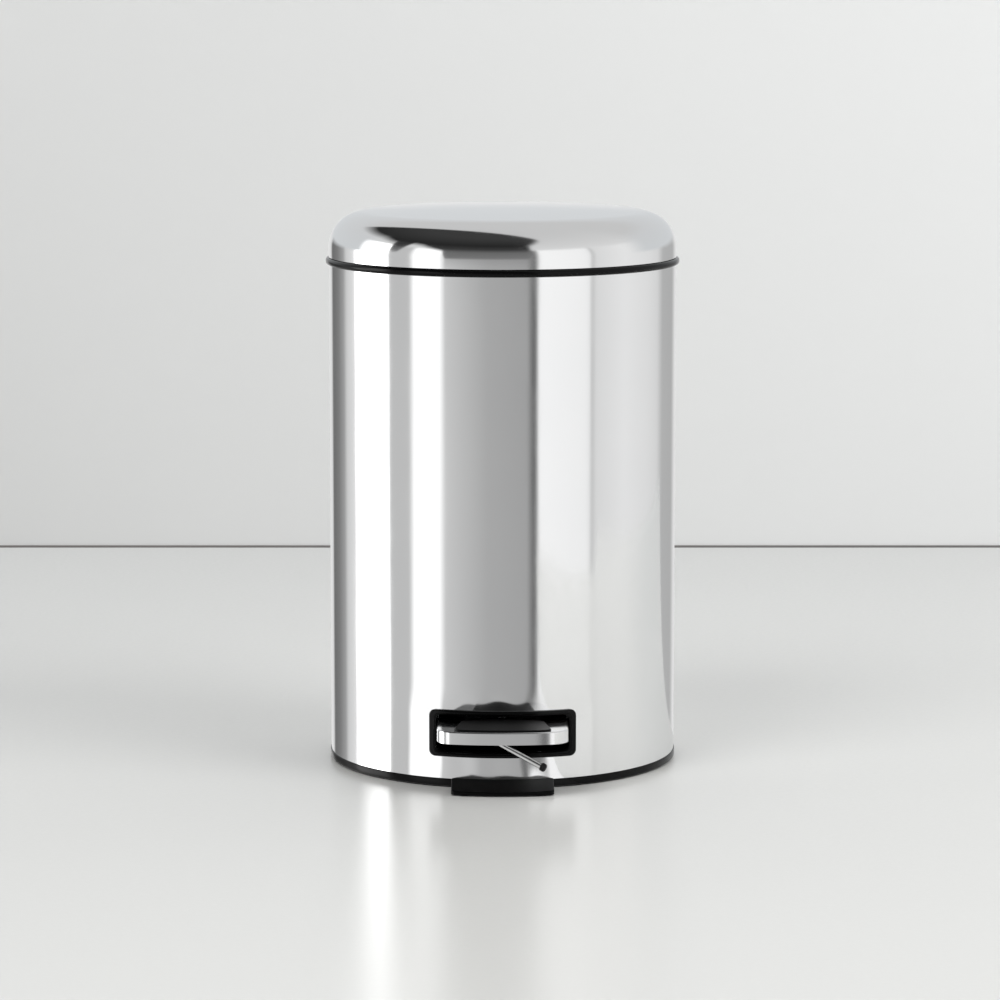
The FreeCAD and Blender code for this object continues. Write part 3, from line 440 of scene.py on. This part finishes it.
# %% Mould the rim bead
inner = RADIUS - SKIN
ledge = inner - 5.2 * MM
bead_top, bead_low, bead_out = rim_high.z, body_high.z, rim_high.x
rim = outline([(inner - 2 * MM, rim_low.z), (inner, rim_low.z, 0.5 * MM), (inner, bead_low),
               (bead_out, bead_low, 2.3 * MM), (bead_out, bead_top, 2.3 * MM), (ledge, bead_top, 0.8 * MM),
               (ledge, bead_top - 2 * MM, 0.5 * MM), (inner - 2 * MM, bead_top - 2 * MM)], segments=5)
spun(rim)
window(rim, rim_low.z - MM, bead_top + MM, NOTCH, front=False, fill=True)
piece(rim, "rim_bead", gloss_black, "root", ["rim_ring"])

# %% Mould the base
edge_out = base_high.x
base = outline([(edge_out - 7 * MM, base_low.z, 0.6 * MM), (edge_out - 5.4 * MM, base_low.z),
                (edge_out - 5.4 * MM, base_low.z + 1.2 * MM), (edge_out - 1.8 * MM, base_low.z + 1.2 * MM),
                (edge_out - 1.8 * MM, base_low.z), (edge_out, base_low.z, 0.9 * MM),
                (edge_out, body_low.z, 0.6 * MM), (inner, body_low.z),
                (inner, base_high.z, 0.6 * MM), (inner - 2 * MM, base_high.z, 0.6 * MM),
                (inner - 2 * MM, body_low.z, 0.6 * MM), (edge_out - 7 * MM, body_low.z, 0.5 * MM)],
               segments=4)
spun(base)
piece(base, "base_band", gloss_black, "root", ["base_ring"])

# %% [markdown]
# ## Flat pieces with curved edges
#
# The foot, the pedal and its tread are cut to arcs round the body's axis. Their plan starts as a
# four-cornered wire whose long sides are divided and laid on arcs. The plan is then filled with
# one face, which the next steps extrude, bevel or thicken.

# %% Draw a plan between two arcs
def plan_between(corners, arcs, cuts=20, segments=6):
    """A face from corners (across, back) or (across, back, radius). The sides given as
    {index: radius} are arcs, which swell backwards when the radius is negative."""
    mesh = outline(corners, plane="XY", segments=segments)
    for index, radius in arcs.items():
        start, end = corners[index], corners[(index + 1) % len(corners)]
        chord, half, round_by = start[1], abs(start[0]), max(start[2:] + end[2:] + (1e-6,))
        on_side = [edge for edge in mesh.edges if all(abs(vert.co.y - chord) < 1e-6 for vert in edge.verts)]
        longest = max(on_side, key=lambda edge: edge.calc_length())
        bmesh.ops.subdivide_edges(mesh, edges=[longest], cuts=cuts)
        bulge = math.copysign(1, radius)
        for vert in mesh.verts:
            if abs(vert.co.y - chord) < round_by + 1e-6:
                vert.co.y += (on_arc(radius, vert.co.x) - on_arc(radius, half)) * bulge
    bmesh.ops.contextual_create(mesh, geom=list(mesh.edges))
    return mesh


def on_arc(radius, across):
    return -math.sqrt(radius ** 2 - across ** 2)


def lifted(mesh, height):
    bmesh.ops.translate(mesh, verts=mesh.verts, vec=(0, 0, height))
    return mesh


def deepened(mesh, depth):
    """Extrude the plan downwards into a solid."""
    made = bmesh.ops.extrude_face_region(mesh, geom=list(mesh.faces), use_keep_orig=True)
    moved = [part for part in made["geom"] if isinstance(part, bmesh.types.BMVert)]
    bmesh.ops.translate(mesh, verts=moved, vec=(0, 0, -depth))
    return facing_out(mesh)


# %% Cut the foot
FOOT_CORNER, NOSE_HIGH = 3 * MM, 3 * MM
foot_half = foot_high.x
foot_reach = -foot_low.y
foot = plan_between([(-foot_half, on_arc(edge_out, foot_half)), (foot_half, on_arc(edge_out, foot_half)),
                     (foot_half, on_arc(foot_reach, foot_half), FOOT_CORNER),
                     (-foot_half, on_arc(foot_reach, foot_half), FOOT_CORNER)],
                    {0: edge_out, 2: foot_reach})
lifted(foot, foot_high.z)
deepened(foot, foot_high.z - foot_low.z)
nose_back = foot_reach + MM
for vert in foot.verts:
    if vert.co.z > foot_high.z - 1e-6:
        share = max(0, (-vert.co.y - edge_out) / (nose_back - edge_out))
        vert.co.z -= (foot_high.z - NOSE_HIGH) * share
rounded(foot, 0.8 * MM, lambda edge: middle_of(edge).z > NOSE_HIGH - 0.4 * MM
        and middle_of(edge).y < -edge_out - MM)
piece(foot, "foot_bar", foot_black, "root", ["front_foot"], even=True)

# %% [markdown]
# ## The pedal
#
# The pedal is a pressed steel tray: a flat top with a lip turned down at the front and the sides.
# The top is filled, its outer edges are extruded down, the fold is rounded, and the sheet gets
# its thickness. A black tread covers the middle of the top and leaves steel at each side.

# %% Press the tray
TRAY_CORNER, TRAY_FOLD, TRAY_SHEET = 10 * MM, 1 * MM, 0.9 * MM
tray_half, reach, back = plate_high.x, -plate_low.y, -plate_high.y
tray = plan_between([(-tray_half, -back), (tray_half, -back),
                     (tray_half, on_arc(reach, tray_half), TRAY_CORNER),
                     (-tray_half, on_arc(reach, tray_half), TRAY_CORNER)], {2: reach}, segments=10)
lifted(tray, plate_high.z)
folds = [edge for edge in tray.edges if edge.is_boundary and middle_of(edge).y < -back - 1e-5]
skirt = bmesh.ops.extrude_edge_only(tray, edges=folds)
lowered = [part for part in skirt["geom"] if isinstance(part, bmesh.types.BMVert)]
bmesh.ops.translate(tray, verts=lowered, vec=(0, 0, plate_low.z - plate_high.z))
facing_out(tray)
if max(tray.faces, key=lambda face: face.calc_area()).normal.z < 0:
    bmesh.ops.reverse_faces(tray, faces=tray.faces)
rounded(tray, TRAY_FOLD, lambda edge: abs(middle_of(edge).z - plate_high.z) < 1e-6, segments=5)
thickened(tray, TRAY_SHEET)
piece(tray, "pedal_tray", pedal_steel, "pedal", ["pedal_plate"], even=True)

# %% Mould the tread
TREAD_CORNER, TREAD_ROUND, TREAD_BACK_ARC = 6 * MM, 0.9 * MM, 86 * MM
tread_low, tread_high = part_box("pedal_pad")
tread_half, tread_reach = tread_high.x + TREAD_ROUND, -tread_low.y
tread_rear, tread_back = 29 * MM, RADIUS + 9 * MM
tread = plan_between([(-tread_rear, -tread_back), (tread_rear, -tread_back),
                      (tread_half, on_arc(tread_reach, tread_half), TREAD_CORNER),
                      (-tread_half, on_arc(tread_reach, tread_half), TREAD_CORNER)],
                     {0: -TREAD_BACK_ARC, 2: tread_reach}, segments=8)
lifted(tread, tread_high.z)
deepened(tread, tread_high.z - tread_low.z)
rounded(tread, TREAD_ROUND, lambda edge: middle_of(edge).z > tread_high.z - 1e-5, segments=4)
piece(tread, "pedal_tread", pad_black, "pedal", ["pedal_pad"], even=True)

# %% [markdown]
# ## The pedal's frame
#
# A black frame lines the opening. It is drawn flat as a rounded rectangle, and each new loop is
# an extrusion of the last one, scaled and moved: up the outside, over the face, down a step, and
# through the sheet. The last loop is bridged to the first. Bending it is then one move of each
# vertex on to the body's cylinder.

# %% Mould the frame
# Each step is an inset from the sides, an inset from the bars and a height off the sheet, in mm.
frame_half = surround_high.x
frame_middle = (surround_low.z + surround_high.z) / 2
frame_tall = surround_high.z - frame_middle
proud = -surround_low.y - RADIUS
FRAME_CORNER = 4.5 * MM
STEPS = [(0, 0, 0.02), (0, 0, 1.3), (0.35, 0.3, 1.9), (1.0, 0.9, 2.2), (3.1, 2.0, 2.2), (3.45, 2.3, 1.75),
         (4.1, 2.8, 1.7), (4.7, 3.2, 1.4), (5.2, 3.6, 0.8), (5.4, 3.8, 0.1), (5.4, 3.8, -3.5),
         (3.95, 2.45, -3.5), (3.95, 2.45, 0.02)]
surround = outline([(-frame_half, -frame_tall, FRAME_CORNER), (frame_half, -frame_tall, FRAME_CORNER),
                    (frame_half, frame_tall, FRAME_CORNER), (-frame_half, frame_tall, FRAME_CORNER)],
                   segments=8)
wide = [edge for edge in surround.edges if edge.calc_length() > frame_half]
bmesh.ops.subdivide_edges(surround, edges=wide, cuts=36)
depth_of = {vert: STEPS[0][2] for vert in surround.verts}
first_loop = loop = list(surround.edges)
for before, after in zip(STEPS, STEPS[1:]):
    made = bmesh.ops.extrude_edge_only(surround, edges=loop)["geom"]
    loop = [part for part in made if isinstance(part, bmesh.types.BMEdge)]
    points = [part for part in made if isinstance(part, bmesh.types.BMVert)]
    scale = ((frame_half - after[0] * MM) / (frame_half - before[0] * MM), 1,
             (frame_tall - after[1] * MM) / (frame_tall - before[1] * MM))
    bmesh.ops.scale(surround, verts=points, vec=scale)
    depth_of.update({vert: after[2] for vert in points})
for vert in surround.verts:
    depth = min(depth_of[vert] * MM, proud)
    vert.co.y = -math.sqrt((RADIUS + depth) ** 2 - vert.co.x ** 2)
bmesh.ops.bridge_loops(surround, edges=first_loop + loop)
lifted(surround, frame_middle)
facing_out(surround)
piece(surround, "pedal_surround", gloss_black, "root", ["pedal_frame"], even=True)

# %% [markdown]
# ## The hinge cover
#
# A black cap hides the hinge at the back. It is an open box whose inner side follows the body.
# Its floor is a plan between an arc and a straight line, its walls are the extruded edges, and
# the corners are rounded before it gets its wall.

# %% Mould the hinge cover
COVER_CORNER, COVER_ROUND, COVER_WALL = 8 * MM, 1.4 * MM, 1.8 * MM
cover_half = cover_high.x
cover = plan_between([(-cover_half, on_arc(RADIUS, cover_half)), (cover_half, on_arc(RADIUS, cover_half)),
                      (cover_half, -cover_high.y, COVER_CORNER),
                      (-cover_half, -cover_high.y, COVER_CORNER)],
                     {0: RADIUS}, segments=8)
bmesh.ops.rotate(cover, verts=cover.verts, cent=(0, 0, 0), matrix=Matrix.Rotation(math.pi, 3, "Z"))
lifted(cover, cover_low.z)
walls = [edge for edge in cover.edges if edge.is_boundary
         and abs(middle_of(edge).xy.length - RADIUS) > 0.2 * MM]
risen = bmesh.ops.extrude_edge_only(cover, edges=walls)["geom"]
bmesh.ops.translate(cover, verts=[part for part in risen if isinstance(part, bmesh.types.BMVert)],
                    vec=(0, 0, cover_high.z - cover_low.z))
facing_out(cover)
if max(cover.faces, key=lambda face: face.calc_area()).normal.z > 0:
    bmesh.ops.reverse_faces(cover, faces=cover.faces)
rounded(cover, COVER_ROUND, lambda edge: middle_of(edge).z < cover_low.z + 1e-5, segments=4)
thickened(cover, COVER_WALL)
piece(cover, "hinge_cap", gloss_black, "root", ["hinge_cover"], even=True)

# %% [markdown]
# ## The bucket
#
# Inside stands a plastic bucket that tapers to its floor. Its rim is rolled outwards, and a
# shallow step below the rim stiffens its wall. It is one outline, spun.

# %% Mould the bucket
BUCKET_DRAFT = 14 * MM
bucket_rim = bucket_high.x
top, bottom = bucket_high.z, bucket_low.z
wall = 1.8 * MM
low_radius = bucket_rim - BUCKET_DRAFT


def taper(height, shift=0.0):
    """The bucket's outer radius at a height."""
    share = (height - bottom) / (top - bottom)
    return low_radius + (bucket_rim - 2 * MM - low_radius) * share + shift


bucket = outline([
    (0, bottom), (low_radius - 12 * MM, bottom), (low_radius - 10 * MM, bottom + 1.5 * MM),
    (low_radius, bottom + 1.5 * MM, 4 * MM), (taper(bottom + 60 * MM), bottom + 60 * MM, 0.6 * MM),
    (taper(top - 34 * MM, -0.7 * MM), top - 34 * MM, 0.6 * MM),
    (taper(top - 32 * MM), top - 32 * MM, 0.6 * MM),
    (taper(top - 5 * MM), top - 4.5 * MM, 0.8 * MM), (bucket_rim, top - 4.5 * MM, 0.7 * MM),
    (bucket_rim, top, 1.6 * MM), (taper(top, -wall), top, 1.2 * MM),
    (taper(top - 34 * MM, -0.7 * MM - wall), top - 34 * MM), (low_radius - wall, bottom + 5 * MM, 4 * MM),
    (0, bottom + wall)], segments=5)
spun(bucket)
piece(bucket, "bucket_moulding", bucket_black, "root", ["inner_bucket"])

# %% [markdown]
# ## Bent wires
#
# The lift rod and the stop under the pedal are bent from round wire. A wire is a path with its
# bends rounded by a vertex bevel. A curve with a round bevel gives it its thickness and closed
# ends, and is made a mesh again.

# %% Bend a wire along corners
def bent_wire(path, radius, sides=5):
    """A mesh tube of this radius along a wire mesh."""
    data = bpy.data.meshes.new("path")
    path.to_mesh(data)
    path.free()
    carrier = bpy.data.objects.new("path", data)
    bpy.context.scene.collection.objects.link(carrier)
    bpy.ops.object.select_all(action="DESELECT")
    bpy.context.view_layer.objects.active = carrier
    carrier.select_set(True)
    bpy.ops.object.convert(target="CURVE")
    carrier = bpy.context.view_layer.objects.active
    carrier.data.dimensions = "3D"
    carrier.data.bevel_depth = radius
    carrier.data.bevel_resolution = sides
    carrier.data.use_fill_caps = True
    bpy.ops.object.convert(target="MESH")
    carrier = bpy.context.view_layer.objects.active
    mesh = bmesh.new()
    mesh.from_mesh(carrier.data)
    bpy.data.objects.remove(carrier)
    bmesh.ops.remove_doubles(mesh, verts=mesh.verts, dist=1e-6)
    return facing_out(mesh)


def path_of(corners, bend, segments=8):
    """A wire through corners in space, its inner corners rounded."""
    mesh = bmesh.new()
    verts = [mesh.verts.new(corner) for corner in corners]
    for first, second in zip(verts, verts[1:]):
        mesh.edges.new((first, second))
    for vert in verts[1:-1]:
        bmesh.ops.bevel(mesh, geom=[vert], offset=bend, offset_type="OFFSET", segments=segments,
                        profile=0.5, affect="VERTICES", material=-1)
    return mesh


# %% Bend the lift rod
WIRE_BEND, WIRE_END = 5 * MM, 0.4 * MM
rod_radius = rod_high.x
rod_back = (rod_low.y + rod_high.y) / 2
rod_foot, rod_hook = rod_low.z + rod_radius, rod_high.z - rod_radius
rod = bent_wire(path_of([(rod_low.x, rod_back, rod_foot), (0, rod_back, rod_foot), (0, rod_back, rod_hook),
                         (rod_low.x + 2 * MM, rod_back, rod_hook)], WIRE_BEND), rod_radius)
rounded(rod, WIRE_END, segments=2)
piece(rod, "lift_wire", wire_steel, "rod", ["lift_rod"])

# %% Bend the stop under the pedal
STOP_RADIUS = 2 * MM
stop_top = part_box("stop_wire")[1].z - STOP_RADIUS
stop_tip = Vector((28 * MM, plate_low.y + 11 * MM, plate_low.z - 17.6 * MM))
stop_bend = Vector((-22 * MM, plate_low.y + 31.5 * MM, stop_top))
stop_root = Vector((-32 * MM, plate_low.y + 41 * MM, stop_top))
stop = bent_wire(path_of([stop_root, stop_bend, stop_tip], WIRE_BEND), STOP_RADIUS)
rounded(stop, WIRE_END, segments=2)
piece(stop, "stop_wire_bent", polished_steel("steel_stop_polish", grain=(0.05, 1, 1)), "pedal",
      ["stop_wire"])
way = (stop_tip - stop_bend).normalized()
cap = outline([(1.95 * MM, -1.6 * MM, 0.2 * MM), (2.9 * MM, -1.6 * MM, 0.5 * MM),
               (2.9 * MM, 2 * MM, 1.2 * MM), (0, 2 * MM), (0, 0), (1.95 * MM, 0)], segments=5)
spun(cap, steps=40)
bmesh.ops.rotate(cap, verts=cap.verts, cent=(0, 0, 0), matrix=way.to_track_quat("Z", "Y").to_matrix())
bmesh.ops.translate(cap, verts=cap.verts, vec=stop_tip)
piece(cap, "stop_wire_tip", dull_rubber, "pedal", ["stop_wire_cap"])

# %% [markdown]
# ## Pieces kept from the CAD model
#
# Brackets, pins, rivets and guides already have their real shape, and most of them are hidden.
# They keep their mesh, and each gets the finish that its part would have.

# %% Finish the kept pieces
KEPT = {
    # The pieces under the bin's floor take the near-black zinc as painted shade in the opening.
    zinc_as_painted_shade: ["inner_floor", "axle_bracket", "bracket_rivets", "axle_clip", "pedal_lever",
                 "pedal_rivets"],
    zinc: ["hinge_bracket", "hinge_rivets", "hinge_clip", "lid_hinge_arm", "lid_rivets"],
    wire_steel: ["lever_axle", "hinge_pin", "bail_handle"],
    satin_black: ["axle_spacers", "rod_guides", "lid_liner", "bail_grip"],
    dull_rubber: ["antislip_strip", "foot_pads", "lid_bumpers"],
}
for finish, names in KEPT.items():
    for name in names:
        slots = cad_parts[name].data.materials
        for index in range(len(slots)):
            slots[index] = finish
    print(finish.name, len(names))

# %% [markdown]
# ## The studio
#
# Polished steel shows its surroundings, so the surroundings are most of its look. They are a ring
# of soft bands of light and shade in the world, laid out by direction, with a dark patch overhead.
# Each band is a heading in degrees, where 0 is straight to the front and 90 is to the right, and
# the display level that the steel is to show there.

# %% Lay out the bands of light
def linear(level):
    """Scene light for a display level from 0 to 255."""
    level /= 255
    return level / 12.92 if level <= 0.04045 else ((level + 0.055) / 1.055) ** 2.4


BANDS = [(-180, 212), (-158, 206), (-153, 100), (-140, 118), (-130, 150), (-126, 196), (-115, 214),
         (-111, 400), (-83, 400), (-80, 182), (-64, 182), (-60, 262), (-42, 258), (-38, 192), (-10, 163),
         (16, 156),
         (20, 96), (22, 100), (24, 238), (56, 231), (59, 226), (61, 180), (64, 208), (88, 220),
         (112, 212), (124, 204), (132, 170), (152, 164), (162, 205), (180, 212)]
FRONT = 15  # the band where the ring is split in two, because a ramp takes no more than 32 stops
STEEL_TONE = 0.79
world = bpy.data.worlds.new("studio")
bpy.context.scene.world = world
world.use_nodes = True


class Surroundings(Finish):
    """The same node method, working on the world."""

    def __init__(self, made):
        self.nodes = made.node_tree.nodes
        self.links = made.node_tree.links
        self.shader = self.nodes["Background"]

    def heading(self, first, last):
        """The part of the ring between two headings, as (place on the ring, light)."""
        return [((angle + 180) / 360, linear(level) / STEEL_TONE) for angle, level in BANDS[first:last]]


sky = Surroundings(world)
direction = sky.node("ShaderNodeTexCoord", output=0)
across, along, up = (sky.node("ShaderNodeSeparateXYZ", None, {"Vector": direction}, output=axis)
                     for axis in range(3))
heading = sky.node("ShaderNodeMath", {"operation": "ARCTAN2"}, {0: across, 1: along * -1.0})
turn = heading * (0.5 / math.pi) + 0.5
left, right = sky.ramp(turn, *sky.heading(0, FRONT + 1)), sky.ramp(turn, *sky.heading(FRONT, len(BANDS)))
ring = sky.blend(sky.ramp(turn, (0.5443, 0.0), (0.5445, 1.0)), left, right)
print("bands", len(BANDS))

# %% [markdown]
# The ring only reaches a little above the horizon. Higher up it fades to a pale ceiling, and at
# the back to a wall with a cool cast. The dark patch lies over the front left: it starts at a
# height that depends on the heading, and a tilted plane cuts it off towards the back. Light
# arriving from below is plain, and the camera itself sees one even tone.

# %% Close the room overhead
GLOOM_STARTS = [(0.08, 0.60), (0.214, 0.62), (0.267, 0.54), (0.277, 0.2), (0.294, 0.2), (0.308, 0.58),
                (0.333, 0.56), (0.386, 0.37), (0.394, 0.0), (0.5535, 0.0), (0.5545, 0.64), (0.592, 0.86),
                (0.6, 1.0)]
WALL_TONES = [(0.15, (0.69, 0.71, 0.725, 1)), (0.5, (0.69, 0.70, 0.71, 1)), (0.66, (0.65, 0.65, 0.65, 1))]
above = sky.ramp(up, (0.36, 0.80), (0.62, 0.72), (1.0, 0.64))
far_wall = sky.node("ShaderNodeValToRGB", {"stops": WALL_TONES}, {"Fac": up})
behind = sky.ramp(along, (0.05, 0.0), (0.35, 1.0)) * sky.ramp(up, (0.0, 0.0), (0.08, 1.0))
room = sky.blend(behind, sky.blend(sky.ramp(up, (0.36, 0.0), (0.46, 1.0)), ring, above), far_wall)
edge = sky.ramp(turn, *GLOOM_STARTS)
rises = sky.ramp(up - edge + 0.2, (0.12, 0.0), (0.24, 1.0))
tilted = across * -0.74 + along * -0.61 + up * -0.28
inside = sky.ramp(tilted + 0.3, (0.10, 0.0), (0.14, 1.0))
gloom = sky.ramp(up, (0.0, 0.21), (0.3, 0.16), (0.45, 0.05), (0.62, 0.022), (0.9, 0.05))
shaded = sky.blend(rises * inside, room, gloom)
ground = sky.blend(sky.ramp(up * -1.0, (0.22, 0.0), (0.4, 1.0)), shaded, (0.6, 0.6, 0.59, 1))
seen = sky.node("ShaderNodeLightPath", output="Is Camera Ray")
sky.give("Color", sky.blend(seen, ground, (linear(222),) * 3 + (1,)))
sky.shader.inputs["Strength"].default_value = 1.0
print("room closed, gloom stops", len(GLOOM_STARTS))

# %% [markdown]
# ### Floor and wall
#
# The floor and the wall are matt paint, a little darker on the left as painted shade. The wall is
# seen only from its front, so that a view from behind is not blocked. The steel doesn't mirror the
# floor, except for a wedge on the right, a millimetre up and seen only in reflections. A dark disc
# under the bin is painted shade, which keeps the space behind the pedal dark.

# %% Paint the floor and the wall
def painted(name, left_tone, right_tone, shine, speckle, one_sided=False, gleam=0.5):
    """Matt paint whose tone runs from the left to the right of the room, as painted light."""
    finish = Finish(name, Specular_IOR_Level=gleam)
    # Painted light: the tone runs from the left tone to the right tone across the room.
    painted_light_drift = finish.ramp(finish.node("ShaderNodeSeparateXYZ", None, {"Vector": finish.place()}) * 0.35 + 0.5,
                        (0.0, 0.0), (1.0, 1.0))
    cloud = finish.noise(1.7, detail=4.0)
    grit = finish.noise(speckle, detail=2.0)
    tone = finish.blend(painted_light_drift, left_tone + (1,), right_tone + (1,))
    finish.give("Base Color", finish.blend(cloud * 0.12, tone, (0.6, 0.6, 0.6, 1)))
    finish.give("Roughness", shine + grit * 0.06)
    finish.give("Normal", finish.bump(grit, 0.00008, 0.2))
    if one_sided:
        behind = finish.node("ShaderNodeNewGeometry", output="Backfacing")
        clear = finish.node("ShaderNodeBsdfTransparent")
        both = finish.node("ShaderNodeMixShader", None,
                           {0: behind, 1: Signal(finish, finish.shader.outputs[0]), 2: clear})
        finish.links.new(both.socket, finish.nodes["Material Output"].inputs["Surface"])
    return finish.material


FLOOR_LEFT, FLOOR_RIGHT = (0.67, 0.67, 0.65), (0.76, 0.76, 0.74)
floor_paint = painted("floor_paint", FLOOR_LEFT, FLOOR_RIGHT, 0.20, 260.0)
mirrored_paint = painted("mirrored_paint", FLOOR_LEFT, FLOOR_RIGHT, 0.20, 260.0, one_sided=True)
wall_paint = painted("wall_paint", (0.69, 0.695, 0.69), (0.93, 0.94, 0.94), 0.7, 300.0, one_sided=True)
joint_paint = painted("joint_paint", (0.22, 0.2, 0.19), (0.16, 0.16, 0.16), 0.8, 300.0)
shade_paint = painted("shade_paint", (0.006,) * 3, (0.006,) * 3, 0.8, 300.0, gleam=0.1)
print("paints made")

# %% Set up the floor and the wall
FAR_FLOOR, WALL_BACK, WALL_TALL, JOINT_TALL = 6.0, 1.0, 4.0, 2.2 * MM


def stage_piece(mesh, name, finish, seen=True, mirrored=False):
    data = bpy.data.meshes.new(name)
    mesh.to_mesh(data)
    mesh.free()
    made = bpy.data.objects.new(name, data)
    bpy.context.scene.collection.objects.link(made)
    data.materials.append(finish)
    made.visible_camera, made.visible_glossy = seen, mirrored
    return made


def upright_sheet(name, finish, width, height, back):
    mesh = bmesh.new()
    bmesh.ops.create_grid(mesh, x_segments=1, y_segments=1, size=1.0)
    bmesh.ops.scale(mesh, verts=mesh.verts, vec=(width / 2, height / 2, 1))
    bmesh.ops.rotate(mesh, verts=mesh.verts, cent=(0, 0, 0), matrix=Matrix.Rotation(math.pi / 2, 3, "X"))
    bmesh.ops.translate(mesh, verts=mesh.verts, vec=(0, back, height / 2))
    return stage_piece(mesh, name, finish)


floor = bmesh.new()
bmesh.ops.create_circle(floor, cap_ends=True, segments=96, radius=FAR_FLOOR)
stage_piece(floor, "floor", floor_paint)
upright_sheet("wall", wall_paint, 2 * FAR_FLOOR, WALL_TALL, WALL_BACK)
upright_sheet("wall_joint", joint_paint, 2 * FAR_FLOOR, JOINT_TALL, WALL_BACK - MM)
wedge = bmesh.new()
WEDGE = [(21, 1.2), (60, 1.07), (63, 1.32), (88, 1.25), (125, 1.6)]
heads = [(0.02, -0.02)] + [(math.sin(math.radians(angle)) * far, -math.cos(math.radians(angle)) * far)
                           for angle, far in WEDGE]
wedge.faces.new([wedge.verts.new((x, y, MM)) for x, y in heads])
mirrored_floor = stage_piece(wedge, "floor_mirrored", mirrored_paint, seen=False, mirrored=True)
mirrored_floor.visible_diffuse = mirrored_floor.visible_shadow = False
# The near-black disc under the bin is painted shade: it keeps the space behind the pedal dark.
under = bmesh.new()
bmesh.ops.create_circle(under, cap_ends=True, segments=64, radius=edge_out - 6 * MM)
lifted(under, 0.1 * MM)
stage_piece(under, "floor_under", shade_paint, mirrored=True)
print("stage set")

# %% [markdown]
# ### Lights and camera
#
# Two large soft lamps light the floor and the wall, and the steel doesn't mirror them. The camera
# has a long lens and looks down a little, so that the top of the lid is just seen.

# %% Hang the lights
def soft_light(name, place, aim, size, power):
    data = bpy.data.lights.new(name, "AREA")
    data.shape = "DISK"
    data.size = size
    data.energy = power
    lamp = bpy.data.objects.new(name, data)
    bpy.context.scene.collection.objects.link(lamp)
    lamp.location = place
    lamp.rotation_euler = (Vector(aim) - Vector(place)).to_track_quat("-Z", "Y").to_euler()
    lamp.visible_glossy = False
    lamp.visible_camera = False
    return lamp


soft_light("key", (-1.1, -1.5, 2.4), (0, 0.2, 0.1), 1.6, 37)
soft_light("fill", (2.2, -1.2, 2.0), (0.4, 0.9, 0.7), 2.0, 46)
print("lamps hung")

# %% Place the camera
camera_data = bpy.data.cameras.new("camera")
camera_data.sensor_width = 36
camera_data.lens = 143.7
camera_data.clip_end = 40
camera = bpy.data.objects.new("camera", camera_data)
bpy.context.scene.collection.objects.link(camera)
camera.location = (-0.0018, -2.871, 0.590)
camera.rotation_euler = (math.radians(82.015), 0, 0)
bpy.context.scene.camera = camera
bpy.context.scene.view_settings.view_transform = "Standard"
print("camera at", tuple(round(part, 3) for part in camera.location))
